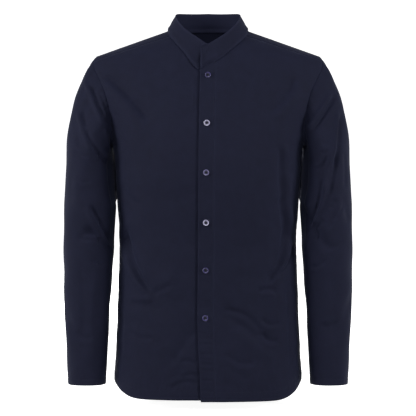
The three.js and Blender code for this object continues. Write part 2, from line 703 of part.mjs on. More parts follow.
// A four-hole button: a dished disc with a raised rim, its back on the plane y = 0 and its face towards -Y.
function buttonGeometry() {
  const { radius, edge, rim, dish, dishRadius, holeRadius, holeOffset } = BUTTON;
  const profile = [
    [0, 0],
    [radius - edge, 0],
    [radius, edge],
    [radius - edge / 2, rim],
    [dishRadius + edge / 2, rim],
    [dishRadius - edge / 2, dish],
    [0, dish],
  ].map(([r, height]) => new THREE.Vector2(r, height));
  const holes = [0, 1, 2, 3].map((quarter) => {
    const turn = Math.PI / 4 + (quarter * Math.PI) / 2;
    const hole = new THREE.CylinderGeometry(holeRadius, holeRadius, 3 * rim, 6);
    return asManifold(hole.translate(holeOffset * Math.cos(turn), 0, holeOffset * Math.sin(turn)));
  });
  const disc = asManifold(new THREE.LatheGeometry(profile, 18));
  const mesh = holes.reduce((button, hole) => button.subtract(hole), disc).getMesh();
  const geometry = new THREE.BufferGeometry();
  geometry.setAttribute("position", new THREE.BufferAttribute(mesh.vertProperties, 3));
  geometry.setIndex(new THREE.BufferAttribute(mesh.triVerts, 1));
  geometry.computeVertexNormals();
  return geometry.rotateX(Math.PI);
}

// The panels, each drawn for the side where x is positive and mirrored for the other.
const leftFlat = frontGrid((z) => centreShift(z) + PLACKET_LEFT_OF_CENTRE, NECK_COLUMNS, OVERLAP_DROP, "over");
const rightFlat = frontGrid((z) => -centreShift(z) - UNDERLAP, NECK_COLUMNS + UNDERLAP_COLUMNS, 0, "under");
const backFlat = backHalf(BACK_NECK_COLUMNS + SHOULDER_COLUMNS);
const yokeBackFlat = yokeBackHalf(backFlat.at(-1));
const flat = {
  front_left: [leftFlat],
  front_right: [mirrored(rightFlat)],
  placket: [placketGrid(leftFlat)],
  back: [bothHalves(backFlat)],
  yoke: [bothHalves(yokeBackFlat), yokeFrontStrip("over"), mirrored(yokeFrontStrip("under"))],
};
const downMiddle = (p) => point(0, 0, Math.min(p.z, YOKE_BACK_Z));
const bodySheets = (grids) => Object.values(grids).map((own) => sheetOf(own, downMiddle));
const flatNormals = groupNormals(bodySheets(flat));
const draped = Object.fromEntries(
  Object.entries(flat).map(([name, grids]) => {
    const sink = name === "front_right" ? underlapSink : () => 0;
    return [name, grids.map((grid) => lifted(grid, flatNormals, (p) => bodyFold(p) + sink(p)))];
  }),
);

// The sleeves are hung on the armholes of the draped panels.
const firsts = (grid) => grid.map((row) => row[0]);
const lasts = (grid) => grid.map((row) => row.at(-1));
const [yokeBack, yokeFrontLeft, yokeFrontRight] = draped.yoke;
const [back] = draped.back;
const leftRing = armholeRing(lasts(draped.front_left[0]), lasts(back), lasts(yokeFrontLeft), lasts(yokeBack));
const rightRing = armholeRing(lasts(draped.front_right[0]), firsts(back), lasts(yokeFrontRight), firsts(yokeBack));
const sleeveMiddle = (p) => point(Math.sign(p.x) * sleeveAt.x(p.z), sleeveAt.y(p.z), p.z);
const foldedSleeve = (grid, side) =>
  lifted(grid, groupNormals([sheetOf([grid], sleeveMiddle, true)]), (p, i) => sleeveFold(p, i, side));
const leftSleeve = foldedSleeve(sleeveGrid(leftRing), "left");
const rightSleeve = foldedSleeve(mirrored(sleeveGrid(mirrored([rightRing])[0])), "right");

// The neckline runs from the placket's free edge over the left shoulder, round the back and to the underlap's end.
const neckColumns = NECK_COLUMNS + 1;
const neckline = [
  ...draped.placket[0].at(-1),
  ...draped.front_left[0].at(-1).slice(1, neckColumns),
  ...firsts(yokeFrontLeft).slice(1, -1).reverse(),
  ...yokeBack[0].slice(SHOULDER_COLUMNS, -SHOULDER_COLUMNS).reverse(),
  ...firsts(yokeFrontRight).slice(1, -1),
  ...draped.front_right[0].at(-1).slice(0, neckColumns + UNDERLAP_COLUMNS).reverse(),
];

const cloth = new THREE.MeshStandardMaterial({ color: 0x212331, roughness: 0.9, metalness: 0 });
const buttonPlastic = new THREE.MeshStandardMaterial({ color: 0x2b2a4a, roughness: 0.35, metalness: 0 });
const shirt = new THREE.Group();

function addPiece(name, geometry, material) {
  const mesh = new THREE.Mesh(geometry, material);
  mesh.name = name;
  shirt.add(mesh);
  return mesh;
}

const bodyPieces = Object.fromEntries(
  Object.entries(draped).map(([name, grids]) => [name, sheetOf(grids, downMiddle)]),
);
const sleevePieces = {
  sleeve_left: sheetOf([leftSleeve], sleeveMiddle, true),
  sleeve_right: sheetOf([rightSleeve], sleeveMiddle, true),
};
const bodyNormals = groupNormals(Object.values(bodyPieces));
const sleeveNormals = groupNormals(Object.values(sleevePieces));

function addCloth(pieces, own, other) {
  for (const [name, sheet] of Object.entries(pieces)) {
    const normals = sheet.points.map((p) => mitred(own.get(keyOf(p)), other.get(keyOf(p))));
    addPiece(name, solidOf(sheet, normals, WALL), cloth);
  }
}
addCloth(bodyPieces, bodyNormals, sleeveNormals);
addCloth(sleevePieces, sleeveNormals, bodyNormals);

const collar = sheetOf([collarGrid(neckline)], (p) => point(0, 0, p.z));
const collarNormals = groupNormals([collar]);
addPiece("collar", solidOf(collar, collar.points.map((p) => collarNormals.get(keyOf(p))), COLLAR_WALL), cloth);

// The buttons stand just off the placket, square to it.
BUTTON_Z.forEach((z, k) => {
  const rows = draped.placket[0];
  const i = rows.findIndex((row) => row[1].z >= z) - 1;
  const t = (z - rows[i][1].z) / (rows[i + 1][1].z - rows[i][1].z);
  const place = rows[i][1].clone().lerp(rows[i + 1][1], t);
  const across = rows[i][2].clone().sub(rows[i][0]);
  const up = rows[i + 1][1].clone().sub(rows[i][1]);
  const outward = across.cross(up).normalize();
  const button = addPiece(`button_${k + 1}`, buttonGeometry(), buttonPlastic);
  button.quaternion.setFromUnitVectors(point(0, -1, 0), outward);
  button.position.copy(place.addScaledVector(outward, BUTTON_STANDOFF));
});

export default shirt;
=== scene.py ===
# A long-sleeved shirt with a mandarin collar, standing filled out as if worn, seen straight from the front.
# The shirt's sizes are in millimetres, and are brought to metres when a mesh is made. The camera, the room
# and the lights are in metres.
import math

import bmesh
import bpy
import numpy as np
from mathutils import Matrix, Vector
from mathutils.kdtree import KDTree


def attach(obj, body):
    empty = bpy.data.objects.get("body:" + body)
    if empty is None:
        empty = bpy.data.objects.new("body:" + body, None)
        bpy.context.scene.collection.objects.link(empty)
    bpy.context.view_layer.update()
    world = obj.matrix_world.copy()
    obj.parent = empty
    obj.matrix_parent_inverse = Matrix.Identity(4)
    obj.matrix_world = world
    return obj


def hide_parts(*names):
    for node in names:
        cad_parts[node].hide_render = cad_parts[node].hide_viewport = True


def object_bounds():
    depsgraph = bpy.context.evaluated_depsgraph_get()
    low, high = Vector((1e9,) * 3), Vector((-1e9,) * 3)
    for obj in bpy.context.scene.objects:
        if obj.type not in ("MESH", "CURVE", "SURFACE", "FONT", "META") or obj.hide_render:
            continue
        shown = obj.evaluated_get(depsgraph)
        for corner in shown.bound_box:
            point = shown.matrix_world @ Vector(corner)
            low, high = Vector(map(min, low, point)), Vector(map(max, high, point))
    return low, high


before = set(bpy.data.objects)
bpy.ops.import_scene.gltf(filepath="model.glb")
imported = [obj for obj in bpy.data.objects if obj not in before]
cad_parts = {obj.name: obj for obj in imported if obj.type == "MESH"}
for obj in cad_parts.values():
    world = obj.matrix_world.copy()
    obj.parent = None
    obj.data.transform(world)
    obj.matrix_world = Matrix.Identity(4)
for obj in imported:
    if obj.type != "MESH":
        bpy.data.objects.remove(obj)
cad_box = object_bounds()
scene = bpy.context.scene

# The camera stands level with the middle of the shirt and 3.2 m in front of it.
VIEW_HEIGHT = -0.3532
camera_data = bpy.data.cameras.new("camera")
camera_data.sensor_width = 36
camera_data.lens = 138.46
camera = bpy.data.objects.new("camera", camera_data)
camera.location = (0, -3.2, VIEW_HEIGHT)
camera.rotation_euler = (math.radians(90), 0, 0)
scene.collection.objects.link(camera)
scene.camera = camera

# The cut of the shirt, as in its solids: half the neck's width at the shoulder line, the shoulder's tip, and
# the slope between them.
NECK_HALF = 81
TIP_X, TIP_Z = 223.9, -51
SHOULDER_SLOPE = -TIP_Z / (TIP_X - NECK_HALF)
NAPE_RISE = 5
# The yoke's front seam runs from the neckline to the armhole, and its back seam is level.
YOKE_NECK_X, YOKE_TIP_Z = 75, -62
YOKE_BACK_Z = -88
# How far the placket and the right front beneath it reach past the middle.
PLACKET_LEFT, PLACKET_RIGHT = 14.6, 15.4
UNDERLAP = 15
ARMPIT_Z, CHEST_Z, SIDE_HEM_Z = -228, -177, -693
HEM_FADE = 130
FRONT_HEM = {"drop": 32, "from": 0.6, "power": 3.5}
BACK_HEM = {"drop": 49, "from": 0.45, "power": 3}
OVERLAP_DROP = 3
# Below its free height a sleeve hangs clear of its armhole.
SLEEVE_FREE_Z, SLEEVE_END_Z, SLEEVE_SQUARE = -265, -701, 2.15
# How far the underlap lies behind the placket, the collar's thickness, its half width and its depths.
LAP = 2.0
COLLAR_WALL = 2.0
COLLAR_TOP = {"half": 64, "front": 71, "back": 57}
COLLAR_CORNER = 15
COLLAR_LAP = 1.3
BUTTON_Z = (-94, -189, -285, -382, -474, -566)
BUTTON_RADIUS = 5.8
CLOTH_THICK, COLLAR_THICK = 0.8, 1.7
# How far the stitching lies from a hem, a sleeve's end and the placket's edges.
HEM_STITCH, SLEEVE_STITCH, PLACKET_STITCH = 18.7, 11.6, 2.6

# Height, half the body's width.
BODY_WIDTH = [
    (-51, 223.9), (-62, 239), (-77, 245), (-91, 245), (-109, 241.5), (-131, 234), (-150, 225),
    (-177, 211.5), (-200, 201.5), (-216, 195.3), (-228, 191), (-249, 187), (-297, 183.2),
    (-349, 180.5), (-415, 176.4), (-465, 177.4), (-521, 179.6), (-577, 181), (-633, 183.4),
    (-687, 186.5), (-760, 187),
]
# Height, depth in front of the middle, depth behind it, how square the section is.
BODY_DEPTH = [
    (12, 12, 60, 2), (0, 20, 66, 2), (-6, 30, 70, 2), (-13, 39, 74, 2), (-19, 46, 77.5, 2),
    (-33, 57, 84, 2), (-49, 65, 90, 2), (-64, 72, 94.5, 2), (-83, 80, 99, 2), (-100, 87.5, 102.5, 2),
    (-131, 99.5, 107.5, 2.1), (-177, 112, 111.5, 2.2), (-228, 119.5, 111.5, 2.35),
    (-285, 121.5, 107.5, 2.4), (-350, 117, 100, 2.4), (-430, 110, 94, 2.35), (-500, 108.5, 96.5, 2.35),
    (-560, 109.5, 102, 2.35), (-640, 112, 110, 2.4), (-760, 115, 117, 2.4),
]
# Height, the armhole's distance from the middle at the front, and at the back.
ARMHOLE = [
    (-51, 223.9, 223.9), (-62, 226.5, 227), (-77, 225, 227), (-91, 218.5, 223), (-109, 209.5, 217),
    (-131, 200.5, 209.5), (-150, 195.5, 204), (-177, 190.5, 197), (-200, 188, 191.5),
    (-216, 188, 189), (-228, 191, 191),
]
# Distance from the middle towards the armhole, the neckline's height on the overlapping left front, and on
# the right front beneath.
NECKLINE = [
    (-17, -80.5, -63.3), (0, -72.5, -72.5), (10, -67.5, -77.6), (17, -63.3, -80.5), (22, -60.2, -78.4),
    (28, -56, -73), (35, -50, -64), (45, -41, -49), (58, -29, -33.5), (70, -17.5, -19), (75, -12, -13),
    (79, -6, -6), (81, 0, 0),
]
# Height, how far the front edge wanders off the middle.
CENTRE_LINE = [
    (-83, 0), (-190, -1.8), (-285, -3), (-382, -3.5), (-474, -4.3), (-566, -5), (-620, -3.5),
    (-670, -0.8), (-760, 2.4),
]
# Turn round the neck from the middle of the front, in degrees, and height of the collar's top edge.
COLLAR_TOP_Z = [
    (0, -33), (14.5, -22.4), (27.7, -13), (39, -4.5), (57, 10.1), (75, 24), (90, 33), (120, 38.5),
    (180, 42),
]
# Height, the sleeve's middle across and from front to back, half its size across, and from front to back, and
# how far the back of its inner side leans in behind the body.
SLEEVE = [
    (-265, 236.5, -10, 46.5, 66, 23), (-300, 235.6, -14, 48.2, 64, 23), (-330, 234.4, -16, 50.4, 62.5, 19),
    (-349, 233.5, -17, 51.7, 61.5, 10), (-367, 234.4, -17, 51.3, 60, 3), (-415, 236.6, -17, 50.5, 57, 0),
    (-465, 238, -18, 49.1, 54, 0), (-521, 239.2, -20, 46.8, 50.5, 0), (-577, 239.7, -23, 43.7, 47, 0),
    (-633, 239.9, -26, 40.8, 43.5, 0), (-701, 239.5, -30, 37.5, 40, 0),
]
SLEEVE_LEAN_TURN, SLEEVE_LEAN_SPREAD = 235, 20

# The largest folds, as in the solids, but for the front's last one, which is 1 mm shallower here: a fold's
# first place, its second, its width and its depth.
FRONT_FOLDS = [
    (-182, -92, -112, -176, 15, -4.0), (-196, -120, -128, -215, 17, 3.0),
    (158, -104, 112, -166, 15, -3.2), (172, -135, 128, -205, 16, 2.4),
    (-166, -408, -138, -486, 13, -4.5), (-138, -486, -98, -530, 12, -4.0),
    (-150, -540, -92, -548, 11, -2.6), (-100, -505, -62, -480, 13, 2.4),
    (146, -255, 148, -352, 12, -3.6), (160, -290, 156, -380, 10, 2.6),
    (160, -395, 116, -495, 15, -4.4), (34, -556, 112, -616, 14, -4.2),
    (60, -590, 128, -648, 15, 2.6), (-26, -590, -74, -660, 15, -2.4),
]
BACK_FOLDS = [
    (-160, -172, -96, -262, 19, -3.6), (156, -178, 104, -256, 19, -3.8),
    (-60, -330, -78, -470, 20, 4.6), (66, -350, 60, -500, 20, 4.2),
    (-118, -400, -60, -452, 14, -3.6), (132, -420, 70, -470, 14, -4.2),
    (-10, -430, 14, -640, 20, -4.0), (-110, -540, -90, -690, 18, 3.4),
    (104, -560, 118, -700, 18, 3.2),
]
# On a sleeve a place across is its turn from the outer side, in degrees, 90 at the front.
SLEEVE_FOLDS = {
    "left": [
        (150, -185, 156, -330, 15, -7.5), (156, -330, 164, -420, 13, -5.5),
        (120, -190, 62, -330, 11, 3.0), (96, -250, 40, -380, 11, -3.0),
        (150, -350, 92, -432, 10, -4.2), (60, -340, 130, -470, 13, 2.8),
        (236, -330, 290, -420, 13, -3.6), (220, -440, 300, -470, 13, 3.0),
        (20, -520, 80, -600, 13, -2.2),
    ],
    "right": [
        (150, -195, 156, -340, 15, -7.5), (156, -340, 164, -425, 13, -5.5),
        (110, -180, 70, -320, 11, 3.0), (66, -330, 128, -404, 12, 3.2),
        (90, -392, 156, -440, 10, -4.6), (74, -412, 108, -406, 9, -3.2),
        (230, -340, 296, -400, 13, -3.8), (212, -430, 290, -478, 13, 3.2),
        (30, -560, 96, -630, 13, -2.2),
    ],
}

# Smaller creases: where each begins, a place on its way, where it ends, its width, its depth,
# and how high the cloth rises beside it, on its right as it runs where that is positive, on its left where
# negative.
FRONT_CREASES = [
    (-52, -52, -36, -68, -22, -90, 3, 1.3, -0.7), (34, -62, 52, -48, 66, -30, 3.5, 0.9, 0),
    (-161, -384, -150, -458, -108, -518, 5, -4.6, 4.4), (-160, -533, -130, -541, -100, -533, 5, -0.5, -1.6),
    (-113, -520, -93, -512, -68, -500, 5, -1.2, 0.8), (139, -222, 144, -300, 146, -404, 5.5, -3.4, -3.2),
    (144, -336, 147, -440, 108, -499, 5.5, -4.6, -3.8), (171, -415, 161, -458, 128, -493, 5, -4.6, 1.8),
    (96, -517, 115, -511, 138, -517, 5, -3.0, 1.4), (25, -550, 72, -561, 109, -598, 5.5, -2.4, 1.6),
    (105, -594, 119, -610, 140, -610, 4.5, -3.0, 1.8), (-32, -586, -54, -629, -88, -668, 6, -0.6, -0.8),
    (-207, -90, -167, -124, -111, -190, 7, -4.4, 3.2), (169, -92, 152, -135, 114, -172, 7, -3.8, -2.4),
    (156, -495, 161, -590, 165, -690, 6, -3.4, -1.4), (-163, -458, -169, -551, -171, -672, 5, -1.6, 0.8),
    (-76, -706, -47, -690, -19, -695, 4.5, -1.6, -1.2), (-58, -653, -39, -649, -19, -656, 4, -1.6, 0),
    (-54, -684, -35, -676, -17, -682, 4, -1.4, -0.8), (-28, -100, -29, -137, -30, -174, 4, 1.2, 0),
    (102, -565, 121, -580, 143, -575, 4.5, -2.4, 1.2), (35, -633, 62, -653, 93, -649, 5, -1.4, 0.8),
    (-156, -590, -132, -606, -101, -602, 5, -1.3, -0.8), (8, -112, 16, -143, 12, -178, 6, -0.8, 0),
    (54, -299, 62, -338, 54, -384, 9, -0.8, 0), (-86, -279, -93, -338, -82, -396, 9, -0.8, 0),
    (-167, -299, -156, -330, -128, -349, 6, -1.4, -0.8), (167, -299, 156, -330, 128, -349, 6, -1.2, 0.8),
]
BACK_CREASES = [
    (-184, -220, -149, -257, -112, -284, 5.5, -3.1, -1.7),
    (-180, -290, -140, -324, -98, -346, 5.5, -2.8, 1.5),
    (182, -230, 146, -270, 108, -296, 5.5, -3.0, -1.7), (178, -310, 138, -338, 92, -352, 5.5, -2.6, 0),
    (-150, -120, -118, -145, -84, -160, 6.0, -2.4, -1.3), (140, -118, 113, -142, 80, -156, 6.0, -2.3, 1.3),
    (-30, -200, -26, -268, -34, -330, 7.5, -2.4, -1.3), (30, -190, 36, -250, 30, -310, 7.5, -2.3, 0),
    (-150, -450, -102, -472, -52, -476, 5.5, -3.3, -1.8), (150, -456, 98, -480, 44, -486, 5.5, -3.1, 1.7),
    (-140, -500, -96, -513, -50, -512, 5.0, 2.4, 0), (144, -508, 94, -523, 46, -524, 5.0, 2.4, 0),
    (-164, -600, -136, -645, -120, -700, 6.0, -2.8, -1.5), (160, -590, 140, -640, 130, -690, 6.0, -2.8, 1.5),
    (-50, -560, -46, -630, -54, -700, 7.0, 2.3, 0), (56, -570, 53, -640, 60, -710, 7.0, 2.3, 0),
    (-70, -400, -40, -414, -8, -416, 5.0, -2.1, -1.2), (76, -404, 42, -418, 10, -420, 5.0, -2.1, 1.2),
]
# On the front of a sleeve creases lie as seen from the front, and on its back by their turn.
SLEEVE_FRONT_CREASES = {
    "left": [
        (254, -126, 229, -165, 197, -216, 4.5, -3.8, 3.4), (256, -154, 252, -210, 244, -259, 3.5, 2.8, 0),
        (241, -236, 232, -285, 225, -330, 3.5, 3.4, 0), (215, -367, 201, -408, 194, -449, 4.5, 2.6, 0),
        (262, -168, 256, -220, 246, -288, 4.5, -4.4, 2.4),
        (224, -290, 215.5, -345, 194, -392, 3.2, -3.2, -3.8),
        (254, -240, 245, -286, 235, -332, 4, -2.4, 0), (249, -334, 244, -345, 239, -356, 4, -2.4, 0),
        (217, -236, 227, -246, 233, -236, 3, -1.4, 0), (232, -252, 225, -269, 207, -279, 3.5, -1.1, 1.2),
        (221, -220, 229, -228, 237, -218, 3, -1.2, 0), (254, -332, 246, -365, 235, -398, 4, -2.2, 0),
        (268, -345, 254, -365, 244, -379, 3.5, -1.8, 0), (226, -374, 220, -384, 214, -392, 4, -1.6, 0),
        (239, -474, 246, -553, 241, -631, 7, -1.2, 0), (215, -494, 211, -572, 217, -662, 6, 0.9, 0),
        (268, -412, 250, -428, 233, -431, 4, -0.8, 0.3), (231, -451, 215, -467, 198, -463, 4, -1.2, -0.6),
        (266, -240, 270, -279, 268, -318, 4, -1.6, 0), (258, -568, 239, -584, 219, -580, 5, -1.0, 0.5),
    ],
    "right": [
        (-246, -96, -223, -150, -203, -200, 4.5, 3.8, 0), (-203, -193, -194, -230, -188, -259, 4, 2.4, 0),
        (-231, -107, -217, -142, -203, -177, 4, -3.0, 0), (-221, -134, -209, -156, -198, -173, 2.8, 1.6, 0),
        (-217, -122, -205, -142, -196, -162, 3, -2.2, 0), (-258, -158, -243, -208, -224, -250, 4.5, 3.4, 0),
        (-246, -158, -243, -177, -239, -193, 4, -2.4, 0), (-256, -212, -254, -222, -250, -232, 4, -1.8, 0),
        (-237, -197, -223, -236, -190, -277, 5, -3.0, -1.6),
        (-231, -344, -212, -384, -186, -424, 4.6, -5.2, 4.2),
        (-209, -402, -200, -418, -190, -434, 3, 3.2, 0),
        (-246, -409, -231, -410, -214, -411, 2.8, 2.8, 0), (-244, -394, -236, -400, -226, -403, 3.5, -0.7, 0),
        (-262, -240, -246, -251, -231, -250, 4, -1.0, 0), (-250, -459, -243, -533, -246, -611, 7, -1.2, 0),
        (-221, -474, -227, -572, -219, -651, 6, 0.9, 0), (-258, -291, -243, -302, -227, -298, 4, -1.0, 0.6),
        (-231, -451, -215, -463, -200, -459, 4, -1.2, 0.6),
        (-258, -592, -243, -607, -223, -604, 5, -1.0, 0.5),
    ],
}
SLEEVE_BACK_CREASES = {
    "left": [
        (210, -300, 242, -332, 280, -350, 5.0, -2.6, -1.4), (206, -400, 243, -416, 286, -416, 4.5, -3.0, 1.7),
        (214, -480, 252, -502, 296, -506, 5.0, -2.2, -1.2), (222, -560, 258, -588, 300, -600, 5.0, -2.1, 0),
        (330, -330, 324, -400, 328, -470, 6.0, -1.9, -1.0), (340, -540, 332, -598, 338, -650, 5.5, 1.8, 0),
        (234, -160, 258, -200, 284, -230, 5.0, -2.4, -1.3), (216, -230, 249, -264, 288, -286, 5.0, -2.2, 0),
    ],
    "right": [
        (212, -310, 246, -343, 284, -358, 5.0, -2.6, -1.4), (204, -412, 240, -425, 282, -428, 4.5, -2.9, 1.6),
        (216, -496, 254, -514, 294, -518, 5.0, -2.2, -1.2), (224, -580, 262, -602, 302, -606, 5.0, -2.1, 0),
        (334, -300, 326, -378, 330, -450, 6.0, -1.9, -1.0), (338, -520, 330, -585, 336, -640, 5.5, 1.8, 0),
        (236, -170, 260, -208, 288, -236, 5.0, -2.4, -1.3), (218, -240, 252, -274, 292, -290, 5.0, -2.2, 0),
    ],
}


def mix(a, b, t):
    """What lies t of the way from a to b."""
    return a + (b - a) * t


def smooth(value, start, end):
    """Runs softly from 0 at the start to 1 at the end."""
    t = np.clip((value - start) / (end - start), 0, 1)
    return t * t * (3 - 2 * t)


def through(rows, column=1):
    """A curve through a table's rows that never overshoots them."""
    rows = np.array(sorted(rows), float)
    xs, ys = rows[:, 0], rows[:, column]
    slopes = np.diff(ys) / np.diff(xs)
    before, after = slopes[:-1], slopes[1:]
    product = before * after
    inner = np.where(product > 0, 2 * product / np.where(product > 0, before + after, 1), 0)
    tangent = np.concatenate([slopes[:1], inner, slopes[-1:]])

    def curve(value):
        x = np.clip(value, xs[0], xs[-1])
        i = np.clip(np.searchsorted(xs, x) - 1, 0, len(xs) - 2)
        span = xs[i + 1] - xs[i]
        t = (x - xs[i]) / span
        rise = ys[i + 1] - ys[i]
        start_bend = tangent[i] * span - rise
        end_bend = rise - tangent[i + 1] * span
        return ys[i] + t * rise + t * (1 - t) * ((1 - t) * start_bend + t * end_bend)

    return curve


table_half = through(BODY_WIDTH)
front_depth, back_depth, squareness = (through(BODY_DEPTH, k) for k in (1, 2, 3))
armhole_x = {"front": through(ARMHOLE, 1), "back": through(ARMHOLE, 2)}
neckline_z = {"over": through(NECKLINE, 1), "under": through(NECKLINE, 2)}
centre_shift = through(CENTRE_LINE)
collar_top_z = through(COLLAR_TOP_Z)
sleeve_x, sleeve_y, sleeve_across, sleeve_deep, sleeve_lean = (through(SLEEVE, k) for k in (1, 2, 3, 4, 5))


def body_half(z):
    """Half the body's width, and above the shoulder's tip the shoulder line's own."""
    return np.where(z > TIP_Z, NECK_HALF - z / SHOULDER_SLOPE, table_half(z))


def shoulder_z(x):
    return -(x - NECK_HALF) * SHOULDER_SLOPE


def back_neck_z(x):
    return NAPE_RISE * (1 - (x / NECK_HALF) ** 2)


def on_body(x, z, face):
    """Places on the body's form, in millimetres, from where they are seen from the front."""
    x, z = np.broadcast_arrays(np.asarray(x, float), np.asarray(z, float))
    n = squareness(z)
    share = np.clip(np.abs(x) / body_half(z), 0, 1)
    depth = (1 - share**n) ** (1 / n)
    y = -front_depth(z) * depth if face == "front" else back_depth(z) * depth
    return np.stack([x, y, z], axis=-1)


def across_level(z, start, end, shares, face):
    """Distances from the middle at one level, evenly spaced along the cloth."""
    n, half = float(squareness(z)), float(body_half(z))
    depth = float(front_depth(z) if face == "front" else back_depth(z))
    ends = [math.copysign(math.asin(min(abs(x) / half, 1) ** (n / 2)), x) for x in (start, end)]
    turn = np.linspace(*ends, 700)
    x = np.sign(turn) * half * np.abs(np.sin(turn)) ** (2 / n)
    y = depth * np.abs(np.cos(turn)) ** (2 / n)
    length = np.concatenate([[0], np.cumsum(np.hypot(np.diff(x), np.diff(y)))])
    return np.interp(np.asarray(shares) * length[-1], length, x)


def fine(steps, edges=(0.0035, 0.011)):
    """Even shares from 0 to 1, with a few more close to both ends, where a seam turns in."""
    even = np.linspace(0, 1, steps + 1)
    kept = even[(even <= 0) | (even >= 1) | ((even > 0.017) & (even < 0.983))]
    return np.unique(np.concatenate([kept, edges, 1 - np.array(edges)]))


def lower_levels(hem):
    """Levels up to the chest: each one's height in the middle, and its rise to the side seam."""
    near_hem = SIDE_HEM_Z + np.array([0, 1.5, 6, 11, 15.6, 17, 18.4])
    above = np.arange(SIDE_HEM_Z + 22, ARMPIT_Z - 2, 2.5)
    sides = np.concatenate([near_hem, above, np.linspace(ARMPIT_Z, CHEST_Z, 18)])
    lift = hem["drop"] * np.clip(1 - (sides - SIDE_HEM_Z) / HEM_FADE, 0, 1)
    return list(zip(sides - lift, lift))


def level_row(z, lift, start, shares, face, hem):
    """One row of a panel, from its front edge or middle to the armhole or the side seam."""
    end = float(armhole_x[face](z)) if z >= ARMPIT_Z - 1e-6 else float(body_half(z))
    x = across_level(z, start, end, shares, face)
    share = np.abs(x) / body_half(z)
    height = z + lift * np.maximum(0, (share - hem["from"]) / (1 - hem["from"])) ** hem["power"]
    return on_body(x * body_half(height) / body_half(z), height, face)


def patch(bottom, top, left, right, us, vs):
    """A smooth patch between four edges drawn in the front view."""
    u, v = us[None, :, None], vs[:, None, None]
    sides = mix(bottom[None], top[None], v) + mix(left[:, None], right[:, None], u)
    return sides - mix(mix(bottom[0], bottom[-1], u), mix(top[0], top[-1], u), v)


NECK_START_Z = -83
yoke_neck = {lap: np.array([YOKE_NECK_X, curve(YOKE_NECK_X)]) for lap, curve in neckline_z.items()}
yoke_tip = np.array([armhole_x["front"](YOKE_TIP_Z), YOKE_TIP_Z])
SHOULDER_COLUMNS, NECK_COLUMNS, UNDERLAP_COLUMNS = 5, 4, 2
shoulder_steps = fine(58)


def front_grid(start_at, neck_columns, hem_drop, lap):
    """One front as a grid, and how many of its columns end at the neckline."""
    hem = {**FRONT_HEM, "drop": FRONT_HEM["drop"] + hem_drop}
    neck_part = fine(11 * neck_columns)
    columns = np.concatenate([neck_part * neck_columns, neck_columns + shoulder_steps[1:] * SHOULDER_COLUMNS])
    shares = columns / (neck_columns + SHOULDER_COLUMNS)
    lower = np.array([
        level_row(z, lift, float(start_at(z)), shares, "front", hem) for z, lift in lower_levels(hem)
    ])
    neck_x = mix(float(start_at(NECK_START_Z)), YOKE_NECK_X, neck_part)
    over_neck = np.stack([neck_x, neckline_z[lap](neck_x)], axis=-1)
    over_shoulder = yoke_neck[lap] + (yoke_tip - yoke_neck[lap]) * shoulder_steps[1:, None]
    top = np.concatenate([over_neck, over_shoulder])
    vs = fine(34, (0.01, 0.03))
    left_z, right_z = mix(CHEST_Z, top[0, 1], vs), mix(CHEST_Z, YOKE_TIP_Z, vs)
    left = np.stack([start_at(left_z), left_z], axis=-1)
    right = np.stack([armhole_x["front"](right_z), right_z], axis=-1)
    upper = patch(lower[-1][:, [0, 2]], top, left, right, shares, vs)
    return np.concatenate([lower, on_body(upper[1:, :, 0], upper[1:, :, 1], "front")]), len(neck_part)


def placket_grid(front):
    """The band from its free edge to its seam on the left front, level with the front's own rows."""
    seam = front[:, 0]
    across = np.array([0, 0.04, 0.11, 0.2, 0.3, 0.4, 0.5, 0.6, 0.7, 0.8, 0.89, 0.96, 1])
    centre = seam[:, 0] - PLACKET_LEFT
    x = mix((centre - PLACKET_RIGHT)[:, None], seam[:, :1], across[None])
    near_neck = smooth(seam[:, 2:3], -120, float(seam[-1, 2]))
    z = seam[:, 2:3] + near_neck * (neckline_z["over"](x) - seam[-1, 2])
    return on_body(x, z, "front")


# From the middle of the back 4 shares in 9 lie under the neck, and 5 under the shoulder.
back_shares = np.concatenate([fine(36, ())[:-1] * 4 / 9, 4 / 9 + shoulder_steps * 5 / 9])
back_shares = np.unique(np.round(back_shares, 9))


def back_half_grid():
    """Half the back, from its middle outwards, up to the yoke."""
    above = mix(CHEST_Z, YOKE_BACK_Z, fine(30, (0.012, 0.035)))[1:]
    levels = lower_levels(BACK_HEM) + [(z, 0.0) for z in above]
    return np.array([level_row(z, lift, 0.0, back_shares, "back", BACK_HEM) for z, lift in levels])


def yoke_place(ridge, low, w, over, face, lap="over"):
    """A place w of the way from the yoke's ridge to its seam, and over of the way from neck to sleeve."""
    if w == 0 and over >= 0:
        return np.array([ridge[0], 0, ridge[1]])
    share = mix(w, w * w, min(max(over * 2 + 1, 0), 1))
    x, z = mix(ridge[0], low[0], share), mix(ridge[1], low[1], share)
    if over >= 1:
        x = armhole_x[face](z)
    if over == 0 and face == "front":
        z = neckline_z[lap](x)
    return on_body(x, z, face)


def yoke_back_grid(seam):
    """Half the yoke behind its ridge, from the middle outwards, down to the back's top edge."""
    grid = []
    for w in fine(26, (0.06, 0.02)):
        row = []
        for k, share in enumerate(back_shares):
            over = (share * 9 - 4) / 5
            over = 0.0 if abs(over) < 1e-6 else over
            if over <= 0:
                x = NECK_HALF * math.sin(math.pi / 2 * share * 9 / 4)
                ridge = (x, back_neck_z(x))
            else:
                x = mix(NECK_HALF, TIP_X, over)
                ridge = (x, shoulder_z(x))
            row.append(yoke_place(ridge, seam[k][[0, 2]], w, over, "back"))
        grid.append(row)
    return np.array(grid)


def yoke_front_grid(lap):
    """The yoke in front of its ridge on one shoulder, down to the front's top edge."""
    grid = []
    for w in fine(7, (0.07,)):
        row = []
        for t in shoulder_steps:
            x = mix(NECK_HALF, TIP_X, t)
            low = yoke_neck[lap] + (yoke_tip - yoke_neck[lap]) * t
            row.append(yoke_place((x, shoulder_z(x)), low, w, t, "front", lap))
        grid.append(row)
    return np.array(grid)


